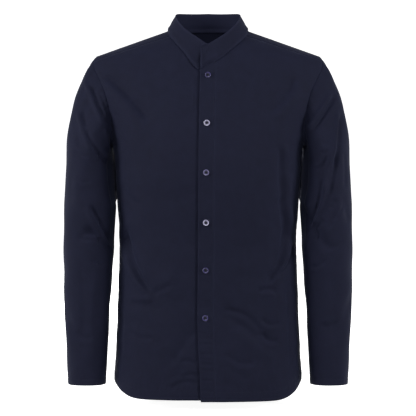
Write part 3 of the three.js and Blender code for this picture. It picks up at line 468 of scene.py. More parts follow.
def mirrored(grid):
    return grid * np.array([-1, 1, 1])


def both_halves(half):
    return np.concatenate([mirrored(half[:, :0:-1]), half], axis=1)


def codes(points):
    """One whole number for each place, the same for places within 0.01 mm."""
    whole = np.round(points.reshape(-1, 3) * 100).astype(np.int64) + (1 << 20)
    return (whole[:, 0] << 42) | (whole[:, 1] << 21) | whole[:, 2]


def quads_of(shape, closed):
    rows, columns = shape
    index = np.arange(rows * columns).reshape(rows, columns)
    if closed:
        index = np.concatenate([index, index[:, :1]], axis=1)
    a, b, c, d = index[:-1, :-1], index[:-1, 1:], index[1:, 1:], index[1:, :-1]
    return np.stack([a, b, c, d], axis=-1).reshape(-1, 4)


def face_normals(points, quads):
    a, b, c, d = (points[quads[:, k]] for k in range(4))
    return np.cross(c - a, d - b)


# Where a place's cloth faces away from: the middle of the body, of the neck or of a sleeve.


def down_middle(points):
    return np.stack([0 * points[:, 0], 0 * points[:, 0], np.minimum(points[:, 2], YOKE_BACK_Z)], axis=-1)


def down_neck(points):
    return points * np.array([0, 0, 1])


def down_sleeve(points):
    x, _, z = points.T
    return np.stack([np.sign(x) * sleeve_x(z), sleeve_y(z), z], axis=-1)


class Strip:
    """One grid of places with its faces looking out, and its lengths along the cloth from each edge."""

    def __init__(self, grid, middle=down_middle, closed=False):
        self.grid, self.middle, self.closed = grid, middle, closed
        self.points = grid.reshape(-1, 3)
        quads = quads_of(grid.shape[:2], closed)
        normals = face_normals(self.points, quads)
        corner = self.points[quads[:, 0]]
        inside_out = np.sum(normals * (corner - middle(corner))) < 0
        self.quads = quads[:, ::-1] if inside_out else quads
        self.area = np.linalg.norm(normals, axis=1).sum() / 2
        across = np.linalg.norm(np.diff(grid, axis=1), axis=2)
        along = np.linalg.norm(np.diff(grid, axis=0), axis=2)
        zero_column, zero_row = np.zeros((grid.shape[0], 1)), np.zeros((1, grid.shape[1]))
        self.across = np.concatenate([zero_column, np.cumsum(across, axis=1)], axis=1)
        self.along = np.concatenate([zero_row, np.cumsum(along, axis=0)], axis=0)

    def moved(self, lift, normals, shift=0):
        """The same strip with its cloth lifted along its normals, and then shifted."""
        grid = self.grid + (normals * lift.reshape(-1, 1)).reshape(self.grid.shape) + shift
        return Strip(grid, self.middle, self.closed)


class Normals:
    """Directions square to the cloth, shared wherever two strips meet."""

    def __init__(self, strips):
        places = np.concatenate([codes(s.points) for s in strips])
        offsets = np.cumsum([0] + [len(s.points) for s in strips])
        self.codes, shared = np.unique(places, return_inverse=True)
        total = np.zeros((len(self.codes), 3))
        for strip, offset in zip(strips, offsets):
            normal = face_normals(strip.points, strip.quads)
            for k in range(4):
                np.add.at(total, shared[strip.quads[:, k] + offset], normal)
        self.normals = total / np.maximum(np.linalg.norm(total, axis=1, keepdims=True), 1e-9)

    def at(self, points):
        return self.normals[np.searchsorted(self.codes, codes(points))]


def hump(distance, height, width, middle=0):
    """A soft ridge along a line, or a trough where its height is negative."""
    return height * np.exp(-(((distance - middle) / width) ** 2))


def folds_at(folds, x, z, scale=1):
    """Soft troughs and ridges. What runs across is multiplied by scale, on a sleeve millimetres a degree."""
    total = np.zeros_like(x)
    for x1, z1, x2, z2, width, depth in folds:
        ax, az = (x2 - x1) * scale, z2 - z1
        length = np.hypot(ax, az)
        px, pz = (x - x1) * scale, z - z1
        ahead, aside = (px * ax + pz * az) / length, (px * az - pz * ax) / length
        ends = smooth(ahead, -width, width) * (1 - smooth(ahead, length - width, length + width))
        total += ends * hump(aside, depth, width)
    return total


def creases_at(creases, x, z):
    """Curved creases, each with cloth that rises on one side of it."""
    total = np.zeros_like(x)
    t = np.linspace(0, 1, 21)
    for x1, z1, xm, zm, x2, z2, width, depth, rise in creases:
        xb, zb = 2 * xm - (x1 + x2) / 2, 2 * zm - (z1 + z2) / 2
        cx = (1 - t) ** 2 * x1 + 2 * t * (1 - t) * xb + t * t * x2
        cz = (1 - t) ** 2 * z1 + 2 * t * (1 - t) * zb + t * t * z2
        reach = 3.5 * width
        near = (x > cx.min() - reach) & (x < cx.max() + reach)
        near &= (z > cz.min() - reach) & (z < cz.max() + reach)
        if not near.any():
            continue
        ax, az = np.diff(cx), np.diff(cz)
        dx, dz = x[near, None] - cx[:-1], z[near, None] - cz[:-1]
        share = np.clip((dx * ax + dz * az) / (ax**2 + az**2), 0, 1)
        away = np.hypot(dx - share * ax, dz - share * az)
        k = np.argmin(away, axis=1)
        at = (np.arange(len(k)), k)
        gone = (k + share[at]) / len(ax)
        aside = away[at] * np.sign(dx[at] * az[k] - dz[at] * ax[k])
        beside = math.copysign(1.9 * width, rise)
        form = hump(aside, depth, width) + hump(aside, abs(rise), 1.2 * width, beside)
        total[near] += form * smooth(gone, 0, 0.2) * (1 - smooth(gone, 0.8, 1))
    return total


def ripple(x, z, seed):
    """The slight unevenness of cloth that nothing pulls flat."""
    chance = np.random.default_rng(seed)
    total = np.zeros_like(x)
    for size in (95, 70, 52, 38, 27, 19):
        angle, shift = chance.uniform(0, math.pi), chance.uniform(0, 2 * math.pi, 2)
        along = x * math.cos(angle) + z * math.sin(angle)
        aside = z * math.cos(angle) - x * math.sin(angle)
        bend = 1.3 * np.sin(2 * math.pi * aside / (size * 2.3) + shift[1])
        total += size * 0.0042 * np.sin(2 * math.pi * along / size + shift[0] + bend)
    return total


def body_lift(points):
    """Folds, creases and ripples of the fronts, the back and the yoke, which is nearly smooth."""
    x, y, z = points.T
    at_front = y < 0
    large = np.where(at_front, folds_at(FRONT_FOLDS, x, z), folds_at(BACK_FOLDS, x, z))
    front_small = creases_at(FRONT_CREASES, x, z) + ripple(x, z, 3)
    back_small = creases_at(BACK_CREASES, x, z) + ripple(x, z, 8)
    small = np.where(at_front, front_small, back_small) * smooth(-z, 30, 90)
    return large * smooth(np.abs(y), 0, 34) + small * smooth(np.abs(y), 0, 22)


def placket_pucker(points):
    """Little puckers that the stitching draws up in the placket, most of them low down."""
    x, _, z = points.T
    past = x - centre_shift(z)
    band = np.exp(-((past / 13) ** 4))
    low = 0.12 + 0.88 * smooth(-z, 560, 640) * (1 - 0.6 * smooth(-z, 700, 725))
    waves = np.sin(z / 1.6 + 0.5 * np.sin(z / 9) + 0.05 * past) + 0.6 * np.sin(z / 2.7 + 1.4)
    return 0.55 * band * low * waves


def underlap_sink(points):
    """The right front lies behind the placket, and comes forward beside it."""
    x, _, z = points.T
    return -LAP * (1 - smooth(centre_shift(z) - x, 34, 70))


# How far a degree of turn is along the back of a sleeve, for its creases.
MM_PER_DEGREE = 0.92


def sleeve_lift(strip, side):
    """Folds, creases and slow ripples of a sleeve, fading out at its armhole."""
    x, y, z = strip.points.T
    turn = np.degrees(np.arctan2(sleeve_y(z) - y, np.abs(x) - sleeve_x(z))) % 360
    per_degree = math.pi * (sleeve_across(z) + sleeve_deep(z)) / 360
    around = np.radians(turn)
    total = folds_at(SLEEVE_FOLDS[side], turn, z, per_degree)
    total += 1.25 * creases_at(SLEEVE_FRONT_CREASES[side], x, z) * smooth(np.sin(around), 0.02, 0.3)
    behind = np.array(SLEEVE_BACK_CREASES[side])
    behind[:, :6:2] *= MM_PER_DEGREE
    total += creases_at(behind, turn * MM_PER_DEGREE, z) * smooth(-np.sin(around), 0.02, 0.3)
    total += 0.5 * np.sin(3 * around + z / 31) + 0.35 * np.sin(5 * around - z / 17)
    total += 0.3 * np.sin(2 * around + z / 12)
    row = np.repeat(np.arange(strip.grid.shape[0]), strip.grid.shape[1])
    return total * smooth(row, 1, 12)


def armhole_ring(front, back, yoke_front, yoke_back):
    """The armhole's places in turn, from the shoulder line down the front and up the back."""
    return np.concatenate([
        yoke_front, front[ARMPIT_ROW:-1][::-1], back[ARMPIT_ROW + 1 :], yoke_back[1:-1][::-1]
    ])


def sleeve_grid(armhole):
    """A sleeve from its armhole to its end. It turns down into free rings, and hangs from there."""
    lengths = np.concatenate([[0], np.cumsum(np.linalg.norm(np.roll(armhole, -1, axis=0) - armhole, axis=1))])
    turns = 2 * math.pi * lengths[:-1] / lengths[-1]
    c, s = np.cos(turns), np.sin(turns)
    across, deep = (np.sign(v) * np.abs(v) ** (2 / SLEEVE_SQUARE) for v in (c, s))
    leaning = hump(np.degrees(turns), 1, SLEEVE_LEAN_SPREAD, SLEEVE_LEAN_TURN)

    def ring(z):
        x = sleeve_x(z) + sleeve_across(z) * across - sleeve_lean(z) * leaning
        return np.stack([x, sleeve_y(z) - sleeve_deep(z) * deep, z + 0 * c], axis=-1)

    # The directions in which the cloth leaves the armhole and arrives at the first free ring.
    leaving = np.stack([38 + 58 * c + 24 * c * c, -35 * s, -100 - 55 * c + 5 * c * c], axis=-1)
    arriving = np.stack([0 * c, 0 * c, -100 - 90 * c - 30 * c * c], axis=-1)
    free = ring(SLEEVE_FREE_Z)
    rows = []
    for t in np.unique(np.concatenate([[0, 0.006, 0.02], np.linspace(0.035, 1, 56)])):
        rows.append(
            armhole * ((1 + 2 * t) * (1 - t) ** 2) + leaving * (t * (1 - t) ** 2)
            + free * (t * t * (3 - 2 * t)) + arriving * (t * t * (t - 1))
        )
    hanging = np.arange(SLEEVE_FREE_Z - 2.9, SLEEVE_END_Z + 18, -2.9)
    near_end = SLEEVE_END_Z + np.array([15.5, 13.4, 12, 10.6, 7, 3.4, 1.2, 0])
    return np.array(rows + [ring(z) for z in np.concatenate([hanging, near_end])])


def collar_grid(neckline, wall):
    """The stand-up band on the neckline, from its overlapping left end round to the end beneath."""
    lengths = np.concatenate([[0], np.cumsum(np.linalg.norm(np.diff(neckline, axis=0), axis=1))])
    close = np.array([0, 0.5, 1.2, 2.2, 3.5, 5, 6.6, 8.4, 10.4, 12.6])
    wanted = np.concatenate([close, np.linspace(15, lengths[-1] - 15, 210), lengths[-1] - close[::-1]])
    seam = np.stack([np.interp(wanted, lengths, neckline[:, k]) for k in range(3)], axis=-1)
    swing = np.degrees(np.arcsin(np.clip(seam[:, 0] / NECK_HALF, -1, 1)))
    first_half = np.arange(len(seam)) < len(seam) / 2
    turn = np.where(seam[:, 1] >= -0.01, 180 - swing, np.where(first_half, swing, 360 + swing))
    cosine, sine = np.cos(np.radians(turn)), np.sin(np.radians(turn))
    depth = np.where(cosine > 0, COLLAR_TOP["front"], COLLAR_TOP["back"])
    from_front = np.minimum(np.abs(turn), np.abs(360 - turn))
    top = np.stack([COLLAR_TOP["half"] * sine, -depth * cosine, collar_top_z(from_front)], axis=-1)
    height = np.linalg.norm(top - seam, axis=1)
    # Both ends are cut round at their top corner.
    from_end = np.radians(np.minimum(turn - turn[0], turn[-1] - turn)) * COLLAR_TOP["front"]
    away = np.clip(COLLAR_CORNER - from_end, 0, COLLAR_CORNER)
    cut = COLLAR_CORNER - np.sqrt(COLLAR_CORNER**2 - away**2)
    beneath = 1 - smooth(turn[-1] - turn, 27, 62)
    rows = []
    for t in [0, 0.03, 0.09, 0.17, 0.26, 0.35, 0.44, 0.53, 0.62, 0.71, 0.8, 0.87, 0.92, 0.96, 0.985, 1]:
        rise = (t * (height + COLLAR_LAP - cut) - COLLAR_LAP) / height
        place = seam + (top - seam) * rise[:, None]
        # The end beneath sinks behind the one on top, and the band is slightly hollow between its edges.
        sink = beneath * mix(0.6, wall + 1.6, t) - 1.1 * math.sin(math.pi * t) * (1 - 0.5 * beneath)
        sink = sink - 0.4 * (1 - smooth(t * height, 2, 9))
        flat = place * np.array([1, 1, 0])
        rows.append(place - flat / np.linalg.norm(flat, axis=1, keepdims=True) * sink[:, None])
    return np.array(rows)


side_levels = np.array([z + lift for z, lift in lower_levels(FRONT_HEM)])
ARMPIT_ROW = int(np.argmin(np.abs(side_levels - ARMPIT_Z)))


def seam_dip(distance):
    """Cloth turns in where it is sewn to its neighbour."""
    return hump(distance, -0.55, 1.5)


def clear_of(distance):
    """0 at a seam or an edge and 1 just away from it, where another seam's form may begin."""
    return smooth(distance, 0, 3)


def stitched_edge(distance, stitch, raise_by=0.45):
    """A turned hem: double cloth from its edge up to the stitching, which draws a line in it."""
    double = raise_by * (1 - smooth(distance, stitch - 0.6, stitch + 2.2))
    return double + hump(distance, -0.4, 1.4, stitch) + hump(distance, -0.3, 0.9)


def drawn_up(distance, along, strength, pitch, reach, seed):
    """Puckers that run away from a line of stitching, and are flat at the line itself."""
    wander = 1.7 * np.sin(along / 23.0 + seed) + 1.1 * np.sin(along / 9.7 + 2.1 * seed)
    wave = np.sin(2 * math.pi * (along + 0.35 * distance) / pitch + wander)
    fade = np.exp(-((distance / reach) ** 1.4)) * smooth(distance, 0, 2.5)
    return strength * wave * (0.65 + 0.35 * np.sin(along / 41.0 + seed)) * fade


def edge_lengths(strip):
    """How far each place is from the strip's first column, its last one, its first row and its last one."""
    across, along = strip.across, strip.along
    return across, across[:, -1:] - across, along, along[-1:] - along


def beside_armhole(strip):
    """1 on the rows that end at the armhole, and 0 on those that end at the side seam."""
    rows, columns = strip.grid.shape[:2]
    return np.repeat((np.arange(rows) >= ARMPIT_ROW)[:, None], columns, axis=1).astype(float)


# The panels, each drawn for the side where x is positive and mirrored for the other.
left_flat, neck_count = front_grid(
    lambda z: centre_shift(z) + PLACKET_LEFT, NECK_COLUMNS, OVERLAP_DROP, "over"
)
right_flat, right_neck_count = front_grid(
    lambda z: -centre_shift(z) - UNDERLAP, NECK_COLUMNS + UNDERLAP_COLUMNS, 0, "under"
)
back_half = back_half_grid()
yoke_back_half = yoke_back_grid(back_half[-1])
yoke_fronts = {lap: yoke_front_grid(lap) for lap in ("over", "under")}

# Seams are shared exactly, so that neighbours meet without a gap.
for front, count, lap in ((left_flat, neck_count, "over"), (right_flat, right_neck_count, "under")):
    yoke_fronts[lap][0] = yoke_back_half[0][-len(shoulder_steps) :]
    front[: ARMPIT_ROW + 1, -1] = back_half[: ARMPIT_ROW + 1, -1]
    front[-1, count - 1 :] = yoke_fronts[lap][-1]
placket_flat = placket_grid(left_flat)
placket_flat[:, -1] = left_flat[:, 0]

flat = {
    "front_left": [Strip(left_flat)],
    "front_right": [Strip(mirrored(right_flat))],
    "placket": [Strip(placket_flat)],
    "back": [Strip(both_halves(back_half))],
    "yoke": [
        Strip(both_halves(yoke_back_half)),
        Strip(yoke_fronts["over"]),
        Strip(mirrored(yoke_fronts["under"])),
    ],
}
flat_normals = Normals([strip for strips in flat.values() for strip in strips])
draped = {}
for name, strips in flat.items():
    draped[name] = []
    for strip in strips:
        lift = body_lift(strip.points)
        if name == "front_right":
            lift = lift + underlap_sink(strip.points)
        draped[name].append(strip.moved(lift, flat_normals.at(strip.points)))

# The sleeves hang from the armholes. Both are made on the left, and the right one is mirrored.
yoke_back, yoke_left, yoke_right = draped["yoke"]
for side, edge, yoke_front in (("left", -1, yoke_left), ("right", 0, yoke_right)):
    edges = [draped["front_" + side][0].grid[:, -1], draped["back"][0].grid[:, edge]]
    ring = armhole_ring(*edges, yoke_front.grid[:, -1], yoke_back.grid[:, edge])
    grid = sleeve_grid(ring) if side == "left" else mirrored(sleeve_grid(mirrored(ring)))
    strip = Strip(grid, down_sleeve, closed=True)
    hung = strip.moved(sleeve_lift(strip, side), Normals([strip]).at(strip.points))
    draped["sleeve_" + side] = [hung]

# The neckline, from the placket's free edge over the left shoulder, round the back and to the underlap's end.
shoulder_count = len(shoulder_steps) - 1
neckline = np.concatenate([
    draped["placket"][0].grid[-1],
    draped["front_left"][0].grid[-1][1:neck_count],
    yoke_left.grid[1:-1, 0][::-1],
    yoke_back.grid[0][shoulder_count:-shoulder_count][::-1],
    yoke_right.grid[1:-1, 0],
    draped["front_right"][0].grid[-1][:right_neck_count][::-1],
])
draped["collar"] = [Strip(collar_grid(neckline, COLLAR_WALL), down_neck)]

# Fine forms at the edges: turned hems, seams and the puckers that sewing leaves beside them.
sleeve_names = ("sleeve_left", "sleeve_right")
body_strips = [strip for name in flat for strip in draped[name]]
body_normals = Normals(body_strips)
joined_normals = Normals(body_strips + [draped[name][0] for name in sleeve_names])


def dip_into_armhole(distance, seam_places):
    """Both sides of an armhole seam turn in along one direction, so that they stay together."""
    return seam_dip(distance)[..., None] * joined_normals.at(seam_places).reshape(seam_places.shape)


def front_details(strip, name):
    """The hem, the seams' dips and puckers, the underlap's edge and the hollow below the collar."""
    first, last, low, high = edge_lengths(strip)
    z = strip.grid[..., 2]
    in_armhole = beside_armhole(strip)
    lift = seam_dip(high) * clear_of(last) + seam_dip(last) * (1 - in_armhole)
    lift = lift + stitched_edge(low, HEM_STITCH)
    hem_puckers = drawn_up(np.abs(low - HEM_STITCH), first, 0.5, 9.5, 14, 1.3 + len(name))
    lift += hem_puckers * clear_of(first) * clear_of(last)
    lift += drawn_up(last, low, 0.45, 13.5, 17, 2.2) * in_armhole * clear_of(high)
    lift += drawn_up(last, low, 0.3, 17, 12, 0.7) * (1 - in_armhole)
    lift += drawn_up(high, first, 0.3, 12, 12, 3.9) * clear_of(last)
    lift += placket_pucker(strip.points).reshape(lift.shape)
    if name == "front_left":
        lift += seam_dip(first)
    else:
        under_band_edge = strip.grid[..., 0] - centre_shift(z) + PLACKET_RIGHT
        lift += hump(under_band_edge, -1.3, 3.2)
    at_neck = smooth(YOKE_NECK_X - np.abs(strip.grid[-1:, :, 0]), -2, 6)
    lift += hump(high, -1.3, 3) * at_neck
    return lift, dip_into_armhole(last, strip.grid[:, -1:]) * in_armhole[..., None]


def back_details(strip):
    """The hem, and the dips and puckers at the side seams, the armholes and the yoke."""
    first, last, low, high = edge_lengths(strip)
    edge = np.minimum(first, last)
    in_armhole = beside_armhole(strip)
    lift = seam_dip(edge) * (1 - in_armhole) + seam_dip(high) * clear_of(edge)
    lift = lift + stitched_edge(low, HEM_STITCH)
    lift += drawn_up(np.abs(low - HEM_STITCH), first, 0.5, 9.5, 14, 4.1) * clear_of(edge)
    lift += drawn_up(edge, low, 0.4, 15, 15, 5.2) * clear_of(high)
    lift += drawn_up(high, first, 0.4, 12, 16, 0.4) * clear_of(edge)
    shift = dip_into_armhole(last, strip.grid[:, -1:]) + dip_into_armhole(first, strip.grid[:, :1])
    return lift, shift * in_armhole[..., None]


def yoke_details(strip, part):
    """Part 0 lies behind the ridge and has two armholes, and each other part has one."""
    first, last, _, high = edge_lengths(strip)
    edge = np.minimum(first, last) if part == 0 else last
    lift = (seam_dip(high) + drawn_up(high, first, 0.22, 12, 10, 0.4 + part)) * clear_of(edge)
    shift = dip_into_armhole(last, strip.grid[:, -1:])
    if part == 0:
        shift = shift + dip_into_armhole(first, strip.grid[:, :1])
    return lift, shift


def placket_details(strip):
    """A thick folded edge, a seam at the other side, and a line of stitching drawn in beside each."""
    first, last, low, _ = edge_lengths(strip)
    lift = seam_dip(last) + stitched_edge(low, HEM_STITCH, 0.3)
    lift += hump(first, 0.55, 4) + hump(first, -0.3, 0.9)
    lift += hump(first, -0.22, 0.9, PLACKET_STITCH) + hump(last, -0.22, 0.9, PLACKET_STITCH)
    return lift + placket_pucker(strip.points).reshape(lift.shape), 0


def collar_details(strip):
    """The band's turned edge and its stitching, its soft middle, and what shows of one end through
    the other."""
    first, last, low, high = edge_lengths(strip)
    edge = np.minimum(first, high)
    lift = hump(edge, 0.8, 2.6) + hump(edge, -0.7, 0.8) + hump(edge, -0.45, 1.1, 3.8)
    lift = lift + hump(low, -0.8, 1.6, 2.6)
    lift += 0.22 * np.sin(first / 13 + 1.3 * np.sin(first / 31)) * smooth(low, 2, 12)
    lift += drawn_up(low, first, 0.3, 9, 9, 2.6)
    lift += hump(low, 1.9, 3.6, 8) * (0.7 + 0.3 * np.sin(first / 19))
    # The end on top is thicker along its edges, and the one beneath draws its rounded outline in it.
    lift += hump(edge, 2.8, 4.5) * (1 - smooth(first, 14, 34))
    round_end = COLLAR_CORNER - np.sqrt(COLLAR_CORNER**2 - np.clip(low - 20, 0, COLLAR_CORNER - 1) ** 2)
    lift += hump(last + round_end, -2.4, 3, 31) * smooth(high, 0, 5)
    lift += hump(first, -1.5, 4, 17.5) * hump(low, 1, 3.5, 26)
    # Both ends are drawn in close above the neck seam.
    lift += hump(low, -1.2, 2.2, 1.5) * smooth(first, 5, 9) * (1 - smooth(first, 18, 30))
    lift += hump(low, -0.9, 2.2, 1.5) * (1 - smooth(last, 60, 90))
    return lift, 0


def sleeve_details(strip):
    """The narrow hem, and the puckers beside it and beside the armhole."""
    first, _, low, high = edge_lengths(strip)
    lift = stitched_edge(high, SLEEVE_STITCH)
    lift += drawn_up(np.abs(high - SLEEVE_STITCH), first, 0.32, 8.2, 10, 1.9)
    lift += drawn_up(low, first, 0.55, 12.5, 20, 3.3)
    return lift, dip_into_armhole(low, strip.grid[:1])


sewn = {}
for name, strips in draped.items():
    sewn[name] = []
    for part, strip in enumerate(strips):
        own_normals = body_normals
        if name.startswith("front"):
            lift, shift = front_details(strip, name)
        elif name == "back":
            lift, shift = back_details(strip)
        elif name == "yoke":
            lift, shift = yoke_details(strip, part)
        elif name == "placket":
            lift, shift = placket_details(strip)
        else:
            lift, shift = collar_details(strip) if name == "collar" else sleeve_details(strip)
            own_normals = Normals([strip])
        sewn[name].append(strip.moved(lift.ravel(), own_normals.at(strip.points), shift))

# Materials


class Socket:
    """A shader value that can be added to, multiplied and so on as numbers are."""

    def __init__(self, maker, socket):
        self.maker, self.socket = maker, socket

    def math(self, operation, *others):
        return self.maker.node("ShaderNodeMath", {"operation": operation}, dict(enumerate([self, *others])))

    def __add__(self, other):
        return self.math("ADD", other)

    def __mul__(self, other):
        return self.math("MULTIPLY", other)

    def __sub__(self, other):
        return self.math("SUBTRACT", other)

    def __rsub__(self, other):
        return (self * -1) + other

    __radd__ = __add__
    __rmul__ = __mul__

    def sine(self):
        return self.math("SINE")

    def within(self, low, high):
        return self.math("MAXIMUM", low).math("MINIMUM", high)


class Finish:
    """One material and the nodes that make it."""

    def __init__(self, name):
        self.material = bpy.data.materials.new(name)
        self.material.use_nodes = True
        self.tree = self.material.node_tree
        self.shader = self.tree.nodes["Principled BSDF"]

    def put(self, target, value):
        if isinstance(value, Socket):
            self.tree.links.new(value.socket, target)
        else:
            target.default_value = value

    def node(self, kind, settings, inputs, output=0):
        """Adds a node, sets it up, and fills its sockets with numbers or with what other nodes give."""
        made = self.tree.nodes.new(kind)
        for name, value in settings.items():
            if name == "stops":
                ramp = made.color_ramp
                while len(ramp.elements) < len(value):
                    ramp.elements.new(0.5)
                for stop, (place, colour) in zip(ramp.elements, value):
                    stop.position, stop.color = place, colour
            else:
                setattr(made, name, value)
        for key, value in inputs.items():
            self.put(made.inputs[key], value)
        return Socket(self, made.outputs[output])

    def set(self, **inputs):
        for key, value in inputs.items():
            self.put(self.shader.inputs[key.replace("_", " ")], value)

    def place(self):
        """Where a point is, in metres."""
        return self.node("ShaderNodeTexCoord", {}, {}, "Object")

    def axis(self, where, k):
        return self.node("ShaderNodeSeparateXYZ", {}, {0: where}, k)

    def value_of(self, attribute):
        return self.node("ShaderNodeAttribute", {"attribute_name": attribute}, {}, "Fac")

    def blend(self, share, one, other):
        settings = {"data_type": "RGBA", "blend_type": "MIX"}
        return self.node("ShaderNodeMix", settings, {0: share, 6: one, 7: other}, 2)

    def noise(self, where, scale, detail=3.0, rough=0.5):
        inputs = {"Vector": where, "Scale": scale, "Detail": detail, "Roughness": rough}
        return self.node("ShaderNodeTexNoise", {}, inputs)

    def drawn_out(self, where, scales):
        """Noise in long flecks, which are long where their scale is small."""
        return self.noise(self.node("ShaderNodeMapping", {}, {"Vector": where, "Scale": scales}), 1.0, 2.0)


THREAD_PITCH = 0.00085


def navy_cotton(name, brightness=1.0, edge_wear_and_highlight=0.22):
    """Plain-woven navy cotton. Its UV map is in metres along the cloth, so that the threads follow it. Its
    inner faces are painted paler, as painted light on the inside of the shirt.
    """
    cloth = Finish(name)
    on_cloth = cloth.node("ShaderNodeUVMap", {"uv_map": "cloth"}, {})
    slubs = cloth.drawn_out(on_cloth, (1500, 90, 1)) * 0.5 + cloth.drawn_out(on_cloth, (80, 1400, 1)) * 0.5
    place = cloth.place()
    mottle, broad = cloth.noise(place, 60.0, 5.0, 0.65), cloth.noise(place, 7.0, 2.0)
    warp, weft = ((cloth.axis(on_cloth, k) * (2 * math.pi / THREAD_PITCH)).sine() for k in (0, 1))
    weave = warp * weft
    tone = (slubs - 0.5) * 0.9 + (mottle - 0.5) * 0.75 + (broad - 0.5) * 0.3 + weave * 0.07 + 0.5
    # Cloth near a cut edge is paler: rubbed wear, and on the collar, where the paling is much stronger, a
    # painted highlight along its edges.
    tone = tone + cloth.value_of("seam") * edge_wear_and_highlight + cloth.value_of("inside") * 0.55
    deep = [c * brightness for c in (0.0047, 0.0055, 0.0147)]
    pale = [c * brightness for c in (0.0122, 0.0138, 0.0322)]
    threads = {"Height": weave * 0.5 + slubs, "Distance": 0.00009, "Strength": 0.55}
    cloth.set(
        Base_Color=cloth.blend(tone.within(0.0, 1.0), (*deep, 1), (*pale, 1)),
        Roughness=0.78 + (mottle - 0.5) * 0.16,
        Specular_IOR_Level=0.1,
        Sheen_Weight=0.05,
        Sheen_Roughness=0.5,
        Sheen_Tint=(0.36, 0.42, 0.7, 1),
        Normal=cloth.node("ShaderNodeBump", {}, threads),
    )
    return cloth.material


def sewing_thread():
    thread = Finish("navy_thread")
    fleck = thread.noise(thread.place(), 900.0, 2.0)
    thread.set(
        Base_Color=thread.blend(fleck, (0.006, 0.007, 0.016, 1), (0.019, 0.021, 0.040, 1)),
        Roughness=0.6 + fleck * 0.2,
        Specular_IOR_Level=0.15,
    )
    return thread.material


def button_plastic():
    """Dark navy plastic, smoother on the rim, which is painted paler as a painted highlight."""
    plastic = Finish("navy_button")
    place = plastic.place()
    cloud = plastic.noise(place, 420.0, 3.0, 0.6)
    rim, polish = plastic.value_of("rim"), plastic.value_of("polish")
    streak = plastic.drawn_out(place, (300, 300, 1100))
    stops = [(0.0, (0.010, 0.010, 0.030, 1)), (0.3, (0.058, 0.052, 0.165, 1)), (1.0, (0.52, 0.50, 0.68, 1))]
    bright = plastic.node("ShaderNodeValToRGB", {"stops": stops}, {"Fac": polish})
    # The rim is painted paler as a painted highlight, strongest on the buttons that face the light in front.
    share = rim * 0.9 + (cloud * 0.6 + streak * 0.4) * 0.1
    plastic.set(
        Base_Color=plastic.blend(share, (0.006, 0.006, 0.017, 1), bright),
        Roughness=0.55 - rim * 0.4 + cloud * 0.08,
        Specular_IOR_Level=0.35,
        Coat_Weight=rim * 0.25,
        Coat_Roughness=0.12,
    )
    return plastic.material


cloth_finish = navy_cotton("navy_cotton")
thread_finish = sewing_thread()
# The collar's cloth pales much more near its edges, as a painted highlight on its rim and rounded ends.
collar_finish = navy_cotton("navy_collar_cotton", 0.99, 0.7)
button_finish = button_plastic()

# Cloth pieces


def piece_of(name, vertices, faces, finish):
    mesh = bpy.data.meshes.new(name)
    mesh.from_pydata(vertices, [], faces)
    mesh.materials.append(finish)
    piece = bpy.data.objects.new(name, mesh)
    scene.collection.objects.link(piece)
    return piece


def belongs(piece):
    """Makes a piece part of the shirt."""
    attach(piece, "root")


def give_values(piece, name, values):
    """A number at each vertex, for the piece's finish."""
    layer = piece.data.attributes.new(name, "FLOAT", "POINT")
    layer.data.foreach_set("value", np.asarray(values, np.float32))


def deselect():
    bpy.ops.object.select_all(action="DESELECT")


def active(piece):
    deselect()
    piece.select_set(True)
    bpy.context.view_layer.objects.active = piece


def apply_modifiers(piece):
    active(piece)
    for modifier in list(piece.modifiers):
        bpy.ops.object.modifier_apply(modifier=modifier.name)


def select_faces(piece, wanted):
    bpy.ops.mesh.select_all(action="DESELECT")
    form = bmesh.from_edit_mesh(piece.data)
    for face in form.faces:
        face.select = wanted(face)
    bmesh.update_edit_mesh(piece.data)


# On the flat cloth a panel's strips lie this far apart, and a sleeve's rings are open by this much.
STRIPS_APART, RING_OPEN = 900, 3


def flat_places(strip, part):
    """Where each corner of a strip's faces lies on the flat cloth, in metres."""
    middle = strip.grid.shape[1] // 2
    across = strip.across - strip.across[:, middle, None] + part * STRIPS_APART
    along = np.broadcast_to(strip.along[:, middle, None], across.shape)
    corner = (np.stack([across, along], axis=-1).reshape(-1, 2) / 1000)[strip.quads]
    if strip.closed:
        # A face that joins a ring's last place to its first one goes on past the last.
        x = corner[..., 0]
        joins = x.max(axis=1, keepdims=True) - x.min(axis=1, keepdims=True) > 0.05
        girth = (strip.across[:, -1].mean() + RING_OPEN) / 1000
        x += np.where(joins & (x < x.mean(axis=1, keepdims=True)), girth, 0)
    return corner


def edge_wear_and_highlight(mesh, reach):
    """How near each place is to a cut edge: 1 on every cut edge, fading within reach of it. The finish paints
    the cloth paler there: rubbed wear on most pieces, and on the collar a painted highlight along its edges.
    """
    form = bmesh.new()
    form.from_mesh(mesh)
    edge_points = [vertex.co.copy() for vertex in form.verts if vertex.is_boundary]
    form.free()
    tree = KDTree(len(edge_points))
    for k, co in enumerate(edge_points):
        tree.insert(co, k)
    tree.balance()
    return [math.exp(-((tree.find(vertex.co)[2] / reach) ** 2)) for vertex in mesh.vertices]


